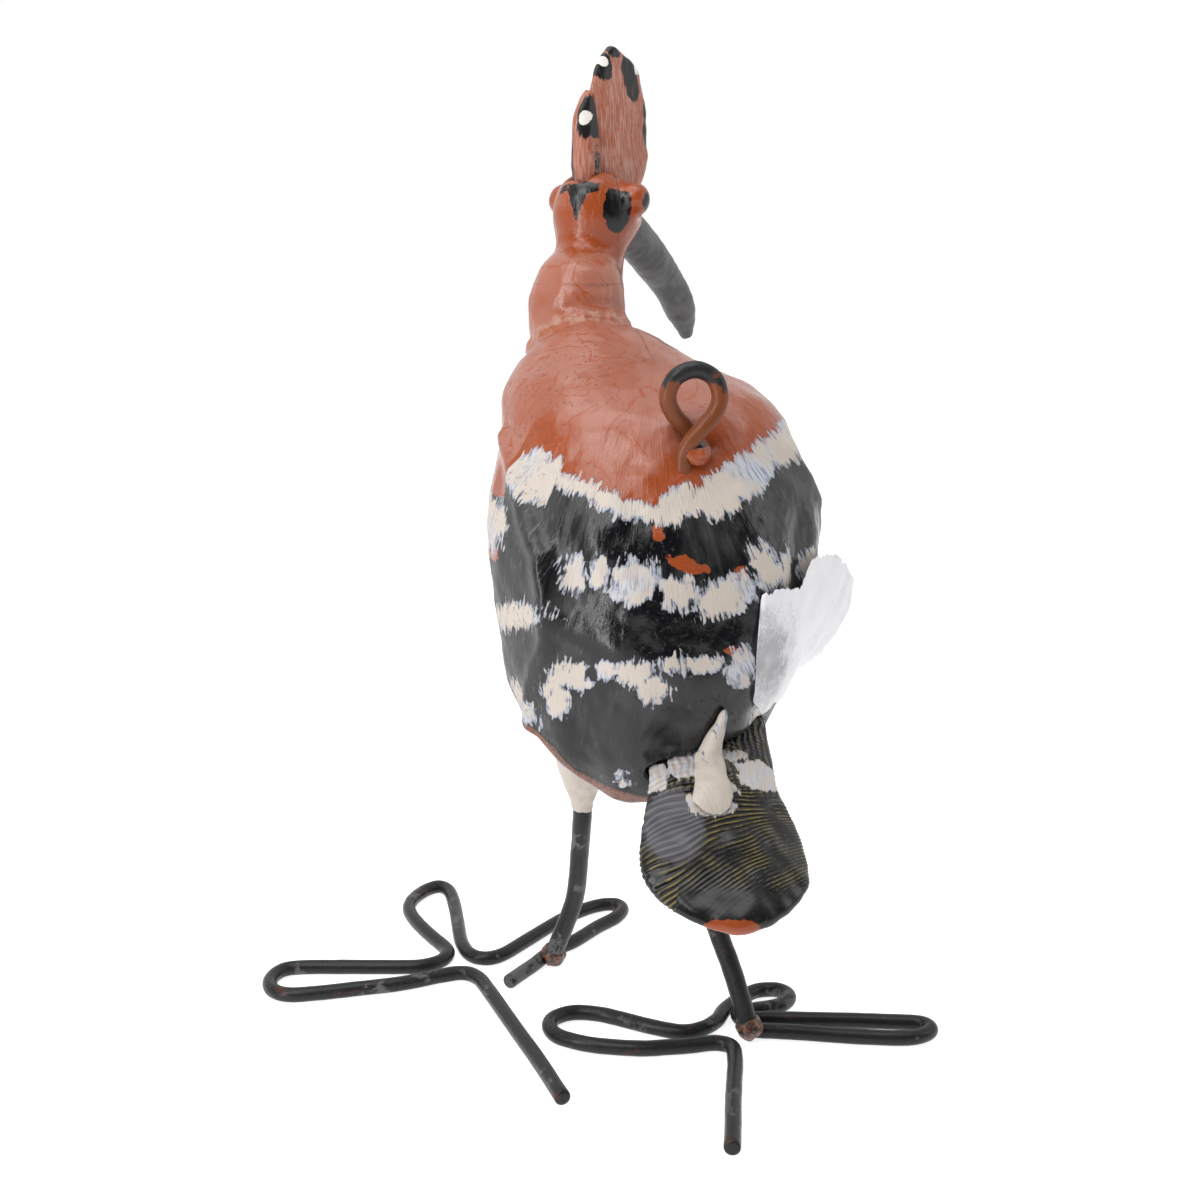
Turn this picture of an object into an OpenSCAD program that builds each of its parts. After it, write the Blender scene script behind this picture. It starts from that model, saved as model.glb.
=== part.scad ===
// A hand-made hoopoe on bent-wire feet, with a wire eye in its back to hang it by.
// The bird faces -Y, its left side is +X, and it stands on the plane z = 0.
// The origin is the middle of its bounding box, on the floor.

/* [Torso] */
// Width of the torso under the wings
torso_w = 58; // [48:0.5:70]
// Height of the torso from belly to mantle
torso_h = 90; // [76:0.5:108]
// Depth of the torso from breast to back
torso_d = 59; // [50:0.5:70]
// Clear height under the belly
stance_h = 54; // [46:0.5:66]

/* [Wings] */
// Greatest thickness of a wing slab
wing_t = 3.4; // [2:0.1:6]
// Thickness of a wing slab at its edges
wing_edge_t = 0.9; // [0.5:0.1:2]
// Depth of the long hollow in each wing
wing_valley = 1.6; // [0:0.1:2]
// Line of glue between a wing and the torso
glue_gap = 0.2; // [0.1:0.05:0.5]

/* [Tail] */
// Length of the tail paddle outside the body
tail_l = 34; // [26:0.5:44]
// Greatest width of the tail paddle
tail_w = 31; // [24:0.5:40]
// Thickness of the tail paddle at its root
tail_t = 8; // [5:0.5:11]
// Droop of the tail paddle below level
tail_droop = 34; // [15:1:55]
// Height of the raised spike from the tail's root to its tip
spike_h = 14.5; // [10:0.5:22]

/* [Neck and head] */
// Greatest radius of the neck
neck_r = 9.9; // [8:0.1:12]
// Length of the neck from its seat to the middle of the head
neck_l = 33; // [27:0.5:40]
// Half width of the head
head_hw = 8; // [6.5:0.1:10]
// Turn of the head to the bird's right
head_turn = 50; // [0:1:75]
// Radius of an eye bead
eye_r = 3.7; // [2.4:0.1:4.4]

/* [Crest and bill] */
// Height of the crest above the middle of the head
crest_h = 32.5; // [22:0.5:40]
// Fore and aft width of the front crest leaf
crest_w = 18; // [13:0.5:22]
// Thickness of a crest leaf
crest_t = 5; // [3.5:0.1:6]
// Turn of the crest past the head's own turn
crest_turn = 10; // [-15:1:25]
// Reach of the bill ahead of the middle of the head
bill_l = 35; // [26:0.5:44]
// Half height of the bill at its root
bill_r = 4.9; // [3.6:0.1:5.6]

/* [Wire] */
// Diameter of the leg wire
leg_wire_d = 4; // [3:0.1:5]
// Diameter of the wire of the feet
foot_wire_d = 3.15; // [2.4:0.05:3.6]
// Diameter of the wire of the hanging eye
eye_wire_d = 3.15; // [2.4:0.05:3.6]
// Diameter of the armature wire
core_wire_d = 2.5; // [1.6:0.1:3]
// Inner width of the hanging eye
eye_hole_w = 6.2; // [5:0.1:9]
// Running gap round a piece in its socket
socket_gap = 0.1; // [0.05:0.05:0.3]
// Size of the feet, as a share of the drawn size
foot_size = 1; // [0.85:0.01:1.2]

/* [Paper scrap] */
// Thickness of the paper scrap
scrap_t = 0.5; // [0.3:0.1:0.9]

/* [Hidden] */

// From the drawing's own zero to the middle of the bounding box
origin_shift = [-0.1, 4, 0];
module at_origin() translate(origin_shift) children();

// ---- Colours ----
rust = [0.62, 0.28, 0.15];
black = [0.08, 0.08, 0.09];
cream = [0.89, 0.85, 0.80];
slate = [0.35, 0.35, 0.36];
wire_black = [0.16, 0.16, 0.17];
braze_brown = [0.42, 0.22, 0.14];

// ---- Curves ----
function clampi(p, i) = p[max(0, min(len(p) - 1, i))];
function blend4(a, b, c, d, t) =
    0.5 * (2 * b + (c - a) * t + (2 * a - 5 * b + 4 * c - d) * t * t + (3 * b - a - 3 * c + d) * t * t * t);
// A smooth curve through points, with a number of steps between each pair
function smooth(p, steps) = [
    for (i = [0 : len(p) - 2], k = [0 : steps - 1])
        blend4(clampi(p, i - 1), clampi(p, i), clampi(p, i + 1), clampi(p, i + 2), k / steps),
    p[len(p) - 1]];
// The row of a table at x, read smoothly between rows that are sorted by their first column
function span_of(tab, x, i = 0) = i >= len(tab) - 2 || x < tab[i + 1][0] ? i : span_of(tab, x, i + 1);
function read_at(tab, x) = let (
    i = span_of(tab, x),
    t = max(0, min(1, (x - tab[i][0]) / (tab[i + 1][0] - tab[i][0]))))
    blend4(clampi(tab, i - 1), clampi(tab, i), clampi(tab, i + 1), clampi(tab, i + 2), t);
function ease(t) = let (u = max(0, min(1, t))) u * u * (3 - 2 * u);
function unit(v) = v / norm(v);

// A closed skin over rings of points, each ring with the same number of points
module skin(rings) {
    n = len(rings[0]);
    m = len(rings);
    polyhedron(
        points = [for (r = rings) each r],
        faces = concat(
            [[for (i = [0 : n - 1]) i]],
            [for (j = [0 : m - 2], i = [0 : n - 1]) let (k = (i + 1) % n)
                each [[j * n + i, (j + 1) * n + i, (j + 1) * n + k], [j * n + i, (j + 1) * n + k, j * n + k]]],
            [[for (i = [n - 1 : -1 : 0]) (m - 1) * n + i]]));
}

// Rings square to a path: each has its half width across and its half height towards up
function path_rings(path, sizes, sides, up) = [
    for (j = [0 : len(path) - 1]) let (
        along = unit(clampi(path, j + 1) - clampi(path, j - 1)),
        across = unit(cross(along, up)),
        over = cross(across, along))
        [for (i = [0 : sides - 1]) let (a = (i + 0.5) * 360 / sides)
            path[j] + across * sizes[j][0] * cos(a) - over * sizes[j][1] * sin(a)]];
module wire(path, r, sides, up) {
    skin(path_rings(path, [for (p = path) [r, r]], sides, up));
}
// A round bar from one point to another
module bar(from, to, r1, r2 = undef) {
    v = to - from;
    translate(from)
        rotate([0, acos(v[2] / norm(v)), atan2(v[1], v[0])])
            cylinder(h = norm(v), r1 = r1, r2 = is_undef(r2) ? r1 : r2, $fn = 48);
}

// ---- Torso ----
// Each row: share of height, centre x, centre y, then shares of half width, breast depth and back depth
torso_rows = [
    [0.000, -8.6, 7.0, 0.10, 0.10, 0.12],
    [0.020, -8.4, 7.5, 0.28, 0.30, 0.34],
    [0.060, -8.0, 8.5, 0.44, 0.47, 0.56],
    [0.140, -7.4, 9.0, 0.63, 0.68, 0.82],
    [0.290, -9.2, 9.0, 0.88, 0.93, 0.95],
    [0.510, -10.2, 8.0, 0.99, 1.03, 0.96],
    [0.680, -10.7, 5.5, 0.97, 1.05, 0.88],
    [0.750, -10.8, 3.7, 0.93, 1.03, 0.84],
    [0.766, -10.7, 3.2, 0.93, 1.02, 0.84],
    [0.778, -10.5, 2.8, 0.97, 1.01, 0.88],
    [0.855, -8.4, -2.3, 0.82, 0.88, 0.72],
    [0.920, -4.6, -6.5, 0.53, 0.62, 0.50],
    [0.965, -2.8, -8.5, 0.35, 0.42, 0.33],
    [0.990, -2.5, -9.5, 0.19, 0.23, 0.18],
    [1.000, -2.5, -10.0, 0.08, 0.10, 0.08]];
roundness = 2.15;
function torso_row(z) = read_at(torso_rows, (z - stance_h) / torso_h);
function signed_pow(v, e) = sign(v) * pow(abs(v), e);
// A point of the torso's skin at height z and angle a from +X, moved out by off
function torso_at(a, z, off = 0) = let (
    r = torso_row(z),
    d = sin(a) > 0 ? r[5] : r[4])
    [r[1] + (r[3] * torso_w / 2 + off) * signed_pow(cos(a), 2 / roundness),
     r[2] + (d * torso_d / 2 + off) * signed_pow(sin(a), 2 / roundness), z];
// The y of the torso's back at x and z, moved out by off
function back_y(x, z, off = 0) = let (
    r = torso_row(z),
    s = min(0.98, abs(x - r[1]) / (r[3] * torso_w / 2 + off)))
    r[2] + (r[5] * torso_d / 2 + off) * pow(1 - pow(s, roundness), 1 / roundness);
torso_sides = 40;
torso_levels = [for (k = [0 : 26]) let (t = k / 26) stance_h + torso_h * (t - sin(360 * t) / 16)];

// ---- Wings ----
// Each row: height, half width and back depth of the outer face of the wings, all in shares
wing_rows = [
    [0.000, 0.64, 0.74],
    [0.070, 0.73, 0.86],
    [0.140, 0.82, 0.96],
    [0.290, 0.985, 1.05],
    [0.510, 1.090, 1.06],
    [0.680, 1.070, 0.98],
    [0.766, 1.000, 0.90]];
wing_free_t = 4.5;
wing_top = 0.764;
wing_front = -26;
wing_seam = 92;
// Height of a wing's lower edge at an angle from the middle of the back
wing_hem = [[0, 0.03], [25, 0.02], [40, 0.035], [55, 0.08], [70, 0.145], [90, 0.22], [120, 0.30]];
// Angle of the long hollow at a share of the height
wing_hollow = [[0, 47], [0.3, 50], [0.5, 49], [0.65, 40], [0.8, 32]];

function wing_outer(a, z, flare) = let (
    h = (z - stance_h) / torso_h,
    r = torso_row(z),
    w = read_at(wing_rows, h),
    fall = (a - read_at(wing_hollow, h)[1]) / 9,
    cut = wing_valley * exp(-fall * fall) * flare,
    full = [r[1] + (w[1] * torso_w / 2 - cut + wing_t - 3.4) * signed_pow(cos(a), 2 / roundness),
            r[2] + (w[2] * torso_d / 2 - cut + wing_t - 3.4) * signed_pow(sin(a), 2 / roundness), z],
    edge = torso_at(a, z, glue_gap + wing_edge_t))
    edge + (full - edge) * flare;
function wing_inner(a, z, outer) = let (
    bed = torso_at(a, z, glue_gap),
    gap = norm(bed - outer))
    outer + (bed - outer) * min(1, wing_free_t / gap);

// A slab between two grids of points that have the same rows and columns
module slab(outer, inner) {
    m = len(outer);
    n = len(outer[0]);
    function o(j, i) = j * n + i;
    function s(j, i) = m * n + j * n + i;
    function quad(p, q, r, t) = [[p, q, r], [p, r, t]];
    polyhedron(
        points = concat([for (r = outer) each r], [for (r = inner) each r]),
        faces = concat(
            [for (j = [0 : m - 2], i = [0 : n - 2]) each quad(o(j, i), o(j + 1, i), o(j + 1, i + 1), o(j, i + 1))],
            [for (j = [0 : m - 2], i = [0 : n - 2]) each quad(s(j, i), s(j, i + 1), s(j + 1, i + 1), s(j + 1, i))],
            [for (j = [0 : m - 2]) each quad(o(j, 0), s(j, 0), s(j + 1, 0), o(j + 1, 0))],
            [for (j = [0 : m - 2]) each quad(o(j, n - 1), o(j + 1, n - 1), s(j + 1, n - 1), s(j, n - 1))],
            [for (i = [0 : n - 2]) each quad(o(0, i), o(0, i + 1), s(0, i + 1), s(0, i))],
            [for (i = [0 : n - 2]) each quad(o(m - 1, i), s(m - 1, i), s(m - 1, i + 1), o(m - 1, i + 1))]));
}
wing_columns = 20;
wing_levels = 18;
// side is 1 for the left wing and -1 for the right
module wing(side) {
    seam = side > 0 ? wing_seam : 180 - wing_seam - 0.5;
    function angle_at(i) = seam + (wing_front - seam) * i / wing_columns;
    function height_at(i, j) = let (
        low = stance_h + torso_h * read_at(wing_hem, 90 - angle_at(i))[1],
        high = stance_h + torso_h * wing_top)
        low + (high - low) * j / wing_levels;
    function flare_at(i, j) = ease((wing_levels - j) / 5) * ease((angle_at(i) - wing_front) / 26);
    function face(i, j) = wing_outer(angle_at(i), height_at(i, j), flare_at(i, j));
    function bed(i, j) = wing_inner(angle_at(i), height_at(i, j), face(i, j));
    // The right wing is the left one turned over about the middle plane of each level
    function placed(p) = side > 0 ? p : [2 * torso_row(p[2])[1] - p[0], p[1], p[2]];
    outer = [for (j = [0 : wing_levels]) [for (i = [0 : wing_columns]) placed(face(i, j))]];
    inner = [for (j = [0 : wing_levels]) [for (i = [0 : wing_columns]) placed(bed(i, j))]];
    at_origin() color(black) difference() {
        if (side > 0) slab(inner, outer); else slab(outer, inner);
        tail_plug(socket_gap);
    }
}
module left_wing() wing(1);
module right_wing() wing(-1);

// ---- Tail ----
tail_root = [-14, 36, 63.5 + (stance_h - 54) + 0.15 * (torso_h - 90)];
tail_swing = 9;
tail_dir = [sin(tail_swing) * cos(tail_droop), cos(tail_swing) * cos(tail_droop), -sin(tail_droop)];
tail_up = [0, sin(tail_droop), cos(tail_droop)];
tail_sunk = 13;
// Each row: share of the length, share of the width, share of the thickness
tail_rows = [
    [0.00, 0.78, 1.00],
    [0.12, 0.80, 0.98],
    [0.25, 0.87, 0.92],
    [0.40, 0.96, 0.84],
    [0.54, 1.00, 0.77],
    [0.68, 0.97, 0.70],
    [0.80, 0.84, 0.62],
    [0.90, 0.62, 0.54],
    [0.96, 0.40, 0.45],
    [1.00, 0.12, 0.30]];
function tail_size(s) = let (r = read_at(tail_rows, s)) [r[1] * tail_w / 2, r[2] * tail_t / 2];
module tail() {
    shares = [for (k = [0 : 14]) 1 - pow(1 - k / 14, 1.3)];
    path = concat([tail_root - tail_dir * tail_sunk], [for (s = shares) tail_root + tail_dir * tail_l * s]);
    sizes = concat([tail_size(0)], [for (s = shares) tail_size(s)]);
    at_origin() color(black) difference() {
        skin(path_rings(path, sizes, 28, tail_up));
        bar(tail_pin_from, tail_pin_to, core_wire_d / 2 + socket_gap);
    }
}
// The shape of the tail's root, wider all round by gap, from inside the torso to outside the wings
module tail_plug(gap) {
    size = tail_size(0) + [gap, gap];
    path = [tail_root - tail_dir * (tail_sunk + gap), tail_root + tail_dir * 9];
    skin(path_rings(path, [size, size], 28, tail_up));
}
tail_pin_from = tail_root - tail_dir * (tail_sunk + 10);
tail_pin_to = tail_root + tail_dir * 5;
module tail_wire() at_origin() color(wire_black) bar(tail_pin_from, tail_pin_to, core_wire_d / 2);

// The raised spike, which lies on the tail's root and runs up the seam of the wings
spike_x = -11.2;
spike_lean = 4.1;
spike_foot_z = tail_root[2] - 1.5;
module tail_spike() {
    rows = 12;
    columns = 8;
    function half_w(v) = 3.6 * pow(1 - v, 0.8) + 0.35;
    function rise(v) = 3.6 * pow(1 - v, 0.7) + 0.5;
    function x_at(u, v) = spike_x - spike_lean * v + u * half_w(v);
    function z_at(v) = spike_foot_z + spike_h * v;
    function bed(u, v) = let (x = x_at(u, v), z = z_at(v))
        [x, max(wing_back_y(x, z), tail_top_y(z)) + glue_gap, z];
    function top(u, v) = bed(u, v) + [0, 0.3 + rise(v) * pow(1 - u * u, 0.6), 0];
    outer = [for (j = [0 : rows]) [for (i = [0 : columns]) top(1 - 2 * i / columns, j / rows)]];
    inner = [for (j = [0 : rows]) [for (i = [0 : columns]) bed(1 - 2 * i / columns, j / rows)]];
    at_origin() color(cream) slab(outer, inner);
}
// The y at which the upper face of the tail's root has height z
function tail_top_y(z) = tail_root[1] + (tail_t / 2 - (z - tail_root[2]) * tail_up[2]) / tail_up[1];
// The y of the outer face of the wings at x and z
function wing_back_y(x, z) = let (
    r = torso_row(z),
    w = read_at(wing_rows, (z - stance_h) / torso_h),
    s = min(0.985, abs(x - r[1]) / (w[1] * torso_w / 2 + wing_t - 3.4)))
    r[2] + (w[2] * torso_d / 2 + wing_t - 3.4) * pow(1 - pow(s, roundness), 1 / roundness);

// ---- Torso with its sockets ----
module torso() at_origin() color(rust) difference() {
    skin([for (z = torso_levels) [for (i = [0 : torso_sides - 1]) torso_at(i * 360 / torso_sides, z)]]);
    bar(neck_seat, neck_seat + neck_lean * 20, neck_seat_r + socket_gap);
    bar(core_from, core_to, core_wire_d / 2 + socket_gap);
    bar(tail_pin_from, tail_pin_to, core_wire_d / 2 + socket_gap);
    tail_plug(socket_gap);
    for (side = [0, 1]) {
        bar(leg_tops[side], hips[side], leg_wire_d / 2 + socket_gap);
        bar(hips[side] + leg_line(side) * thigh_sunk, hips[side] - leg_line(side) * 20, thigh_r + socket_gap);
    }
    bar(eye_seat - [eye_leg_x, eye_leg_y, eye_sunk], eye_seat + [-eye_leg_x, -eye_leg_y, 6],
        eye_wire_d / 2 + socket_gap);
    bar(eye_seat - [-eye_leg_x, -eye_leg_y, eye_sunk], eye_seat + [eye_leg_x, eye_leg_y, 6],
        eye_wire_d / 2 + socket_gap);
}

// ---- Neck ----
mantle_z = stance_h + torso_h;
neck_seat_r = neck_r * 0.96;
neck_seat = [-0.6, -15.2, mantle_z - 13];
neck_lean = unit([-0.8, -1.4, 10]);
head_at = neck_seat + [-6.4, -9, neck_l];
neck_top = head_at - [0, 0, 6];
neck_top_r = 6.4;
module neck() {
    bend = [neck_seat, neck_seat + neck_lean * 7, neck_seat + neck_lean * 12, neck_seat + neck_lean * 17,
            neck_top - [-2.2, -1.4, 6], neck_top - [0, 0, 1], neck_top + [-0.5, -0.6, 2]];
    radii = [neck_seat_r, neck_seat_r, neck_r, neck_r * 0.95, neck_r * 0.8, neck_top_r, neck_top_r * 0.9];
    path = smooth(bend, 3);
    fine = smooth(radii, 3);
    at_origin() color(rust) difference() {
        skin(path_rings(path, [for (r = fine) [r, r]], 28, [0, 1, 0.2]));
        bar(core_from, core_to, core_wire_d / 2 + socket_gap);
    }
}
core_from = neck_seat - neck_lean * 14;
core_to = neck_top + [-0.5, -2.6, 2];
module neck_wire() at_origin() color(wire_black) bar(core_from, core_to, core_wire_d / 2);

// ---- Head, in its own frame: the middle of the head is the origin and the bill points to -Y ----
module on_head(extra = 0) translate(head_at) rotate([0, 0, -head_turn - extra]) children();
// Each row: height, then shares of half width, and reach forward and back
head_rows = [
    [-9.2, 0.10, 1.0, 1.0],
    [-8.6, 0.60, 5.2, 4.6],
    [-6.5, 0.96, 8.6, 7.4],
    [-3.0, 1.08, 11.0, 8.6],
    [1.0, 1.04, 11.8, 8.8],
    [4.5, 0.88, 10.0, 8.2],
    [7.2, 0.62, 6.8, 6.2],
    [8.8, 0.30, 3.2, 3.2],
    [9.3, 0.08, 0.8, 0.8]];
function head_at_angle(a, z) = let (r = read_at(head_rows, z))
    [r[1] * head_hw * cos(a), (sin(a) > 0 ? r[3] : r[2]) * sin(a), z];
bill_root = [0, -7, -1];
eye_at = [head_hw * 1.08, -1.5, 2.4];
module head() at_origin() color(rust) difference() {
    on_head() difference() {
        skin([for (k = [0 : 16]) let (z = -9.2 * cos(180 * k / 16)) [for (i = [0 : 27]) head_at_angle(i * 360 / 28, z)]]);
        for (x = [-1, 1]) translate([x * eye_at[0], eye_at[1], eye_at[2]]) sphere(r = eye_r + socket_gap, $fn = 48);
        bar(bill_root, bill_root + bill_line * 20, bill_r * 0.94 + socket_gap);
    }
    bar(neck_top - [-0.5, -0.6, 9], neck_top + [-0.5, -0.6, 2] + [0, 0, socket_gap], neck_top_r + 0.15 + socket_gap);
    bar(core_from, core_to, core_wire_d / 2 + socket_gap);
    on_head(crest_turn) crest_slot(socket_gap);
}
module eye_bead(side) at_origin() color(rust) on_head() translate([side * eye_at[0], eye_at[1], eye_at[2]]) sphere(r = eye_r, $fn = 48);
module left_eye() eye_bead(1);
module right_eye() eye_bead(-1);

// ---- Bill ----
bill_line = unit([0, -10, -6]);
bill_curve = [[0, -7, -1], [0, -13, -4.6], [0, -20.5, -9.6], [0, -28, -15.4], [0, -33, -21.4], [0, -35.4, -27]];
bill_scale = bill_l / 35.4;
module bill_form() {
    path = [for (p = smooth(bill_curve, 3)) bill_root + (p - bill_root) * bill_scale];
    radii = smooth([0.94, 0.94, 0.9, 0.8, 0.74, 0.28] * bill_r, 3);
    skin(path_rings(path, [for (r = radii) [r * 0.82, r]], 20, [0, -0.6, 1]));
}
// The space of the lower bill: below a line that follows the gape and ends at the step
module gape(gap) {
    step = [-29.6, -18.6];
    side = [[-4, -2], [-12.5, -7.2], [-20, -12], step, [-22, -36], [-4, -36]];
    rotate([90, 0, 90]) linear_extrude(height = 24, center = true)
        polygon([for (p = side) let (q = [bill_root[1], bill_root[2]] + (p - [bill_root[1], bill_root[2]]) * bill_scale)
            q + [gap, -gap]]);
}
module upper_bill() at_origin() color(slate) on_head() difference() {
    bill_form();
    gape(0);
}
module lower_bill() at_origin() color(slate) on_head() intersection() {
    bill_form();
    gape(0.12);
}

// ---- Crest, in the head's frame turned by crest_turn ----
crest_foot = 4.5;
crest_step = -3;
// Each row: share of the height, front edge and back edge as shares of the leaf's width
front_leaf = [[0.00, 0.38, 0.24], [0.25, 0.64, 0.30], [0.47, 0.66, 0.32], [0.70, 0.60, 0.24],
    [0.81, 0.54, 0.19], [0.91, 0.42, 0.11], [1.00, 0.17, -0.04]];
rear_leaf = [[0.00, 0.16, 0.16], [0.25, 0.18, 0.20], [0.55, 0.18, 0.21], [0.78, 0.14, 0.15],
    [0.92, 0.08, 0.07], [1.00, 0.02, -0.01]];
module leaf(rows, foot, height, width, thick, y0, x0) {
    n = 16;
    levels = [for (k = [0 : n]) let (t = k / n) 1 - pow(1 - t, 1.25)];
    skin([for (t = levels) let (
        r = read_at(rows, t),
        front = y0 - r[1] * width,
        back = y0 + r[2] * width,
        half_t = thick / 2 * (0.35 + 0.65 * pow(1 - t, 0.6)))
        [for (i = [0 : 19]) let (a = i * 18)
            [x0 + half_t * cos(a), (front + back) / 2 + (back - front) / 2 * sin(a), foot + (height - foot) * t]]]);
}
// The straight sided seat of both leaves in the top of the head
module crest_slot(gap) {
    translate([-crest_t / 2 - 0.5 - gap, crest_step - crest_w * 0.55 - gap, crest_foot - gap])
        cube([crest_t + 1 + 2 * gap, crest_w * 1.06 + 2 * gap, 12]);
}
module crest_front() at_origin() color(rust) on_head(crest_turn)
    leaf(front_leaf, crest_foot, crest_h, crest_w, crest_t, crest_step, 0);
module crest_rear() at_origin() color(rust) on_head(crest_turn) difference() {
    leaf(rear_leaf, crest_foot, crest_h * 0.74, crest_w, crest_t + 1, crest_step + crest_w * 0.29, 0);
    leaf_cut();
}
// The front leaf's back edge, with a line of glue, taken out of the rear leaf
module leaf_cut() leaf(front_leaf, crest_foot - 0.5, crest_h + 0.5, crest_w, crest_t + 0.3, crest_step + 0.15, 0);

// ---- Hanging eye ----
eye_seat = let (x = -12, z = mantle_z - 20.5) [x, back_y(x, z), z];
eye_leg_x = 2.2;
eye_leg_y = 0.9;
eye_sunk = 9;
eye_ring_r = eye_hole_w / 2 + eye_wire_d / 2;
module hanging_eye() {
    r = eye_ring_r;
    top = 3.2 + 2 * r;
    // One side of the loop, from inside the torso to the crown: across, out of the back, up
    half = [[-eye_leg_x, -eye_leg_y, -eye_sunk], [-eye_leg_x, -eye_leg_y, -3], [-eye_leg_x * 0.6, -1.5, -0.6],
        [0.8, -1.75, 2], [r * 0.72, -1.2, 4.6], [r, -0.6, top - r - 0.2], [r * 0.74, -0.2, top - r * 0.32]];
    path = concat(half, [[0, 0, top]], [for (k = [len(half) - 1 : -1 : 0]) let (p = half[k]) [-p[0], -p[1], p[2]]]);
    at_origin() color(wire_black) translate(eye_seat) wire(smooth(path, 3), eye_wire_d / 2, 12, [0, 1, 0.05]);
}
// Filler round the shanks of the eye, where they enter the back
module eye_collar() at_origin() color(rust) difference() {
    translate(eye_seat + [0, -1, -3.2]) rotate([-30, 0, 0])
        rotate_extrude($fn = 48) polygon([[0, 0], [4.4, 0], [4.3, 2.1], [3.8, 3.2], [2.9, 3.9], [1.8, 4.3], [0, 4.4]]);
    for (s = [-1, 1]) bar(eye_seat + [s * eye_leg_x, s * eye_leg_y, -eye_sunk], eye_seat + [s * eye_leg_x, s * eye_leg_y, -3],
        eye_wire_d / 2 + socket_gap);
    collar_bed();
}
module collar_bed() skin([for (z = torso_levels) [for (i = [0 : torso_sides - 1])
    torso_at(i * 360 / torso_sides, z, 0.05)]]);

// ---- Legs and thighs; index 0 is the left side and 1 the right ----
hips = [[0.2, -6, 43 + (stance_h - 54)], [-16.6, 7.4, 44 + (stance_h - 54)]];
leg_tops = [[1.7, 1.4, 72 + (stance_h - 54)], [-9.4, 0.5, 72 + (stance_h - 54)]];
ankles = [[2.9, -23.6, 2.6], [-28.3, 19.6, 2.8]];
leg_bends = [[[-0.4, -11, 32.2], [-0.8, -16.4, 20.6], [0.1, -19.4, 13.6]],
    [[-20.2, 10.8, 31.5], [-23.6, 13.9, 20.6], [-25.8, 16.6, 13.2]]];
thigh_r = 6;
thigh_l = 27;
thigh_sunk = thigh_l;
function leg_line(side) = unit(leg_tops[side] - hips[side]);
module leg(side) {
    straight = [leg_tops[side], leg_tops[side] - leg_line(side) * 14, hips[side]];
    path = smooth(concat(straight, leg_bends[side], [ankles[side]]), 3);
    at_origin() color(wire_black) difference() {
        wire(path, leg_wire_d / 2, 16, [0, 1, 0.1]);
        foot_strand(side, foot_wire_d / 2 + 0.05);
    }
}
module left_leg() leg(0);
module right_leg() leg(1);
module thigh(side) {
    at_origin() color(cream) difference() {
        translate(hips[side]) orient(leg_line(side))
            rotate_extrude($fn = 48) polygon([[0, 0], [leg_wire_d / 2 + 0.35, 0], [leg_wire_d / 2 + 0.6, 2.5],
                [leg_wire_d / 2 + 1.5, 5.5], [leg_wire_d / 2 + 2.9, 9], [thigh_r - 0.3, 13], [thigh_r, 16],
                [thigh_r, thigh_l - socket_gap], [0, thigh_l - socket_gap]]);
        bar(hips[side] - leg_line(side) * 2, leg_tops[side] + leg_line(side), leg_wire_d / 2 + socket_gap);
    }
}
module left_thigh() thigh(0);
module right_thigh() thigh(1);
module orient(v) rotate([0, acos(v[2] / norm(v)), atan2(v[1], v[0])]) children();

// ---- Feet: the route of each wire round its pegs, from the ankle ----
foot_routes = [
    [[11.5, 8.5], [8, 5], [4.3, 1.3], [-0.8, -4.3], [-6.7, -8], [-14, -14.5], [-19.2, -18.5], [-22, -22.7],
     [-21.4, -25.8], [-18, -26.6], [-13, -24.8], [-6, -20], [4.2, -10.7], [10.6, -5], [14.8, -4.1], [17.6, -7],
     [18.4, -14], [17.6, -24], [16.7, -35], [16.6, -43.6], [18.6, -47.4], [22.4, -45.6], [26.2, -40.4],
     [27.7, -34.6], [26.8, -27], [24.6, -18.5], [22.6, -12], [22.4, -8.4], [24.4, -5.2], [28.4, -3.5], [33.4, -4.2],
     [43.7, -6.8], [54.2, -9.3], [59, -8.9], [61.8, -4.6], [61.5, 0.4], [58.3, 3.4], [52.6, 4.1], [44.8, 4.1],
     [34.3, 3.9], [26, 2.3], [20.6, 2.1], [17.8, 5.4], [16.5, 13], [14.6, 28.2], [12.6, 43.3], [11, 58.5]],
    [[-0.2, -1.5], [-3.7, 0], [-9.4, 2], [-19, 6], [-29, 9.4], [-33.5, 9.4], [-36.4, 7.4], [-35.4, 4.5],
     [-29.3, 2.3], [-21.7, -0.2], [-11.4, -3.2], [-5, -5], [-0.8, -6.1], [-0.6, -8.4], [-4, -9.2], [-8.9, -9.6],
     [-12, -11], [-13.6, -13.8], [-12.2, -16.8], [-7.6, -17.4], [-2.6, -14.4], [1.8, -10.6], [4.8, -6.6],
     [8.9, -4], [13.2, -3.7], [18.3, -7.2], [22.7, -11.2], [27.3, -15.1], [32.4, -17.2], [36.6, -16],
     [38.6, -13], [38.2, -8.7], [35.2, -5.2], [30.6, -2.1], [23.2, 0.8], [18.1, 1.6], [12.8, 2.1], [7.9, 2.3],
     [5.3, 4.7], [6.4, 10.1], [8.9, 17], [11.6, 24.4], [14.2, 32], [16.8, 39.2]]];
foot_sides = 12;
foot_z = foot_wire_d / 2 * cos(180 / foot_sides);
function peg(side, p) = [ankles[side][0] + p[0] * foot_size, ankles[side][1] + p[1] * foot_size, foot_z];
module foot(side) {
    route = smooth([for (p = foot_routes[side]) peg(side, p)], 2);
    at_origin() color(wire_black) wire(route, foot_wire_d / 2, foot_sides, [0, 0, 1]);
}
module left_foot() foot(0);
module right_foot() foot(1);
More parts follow.
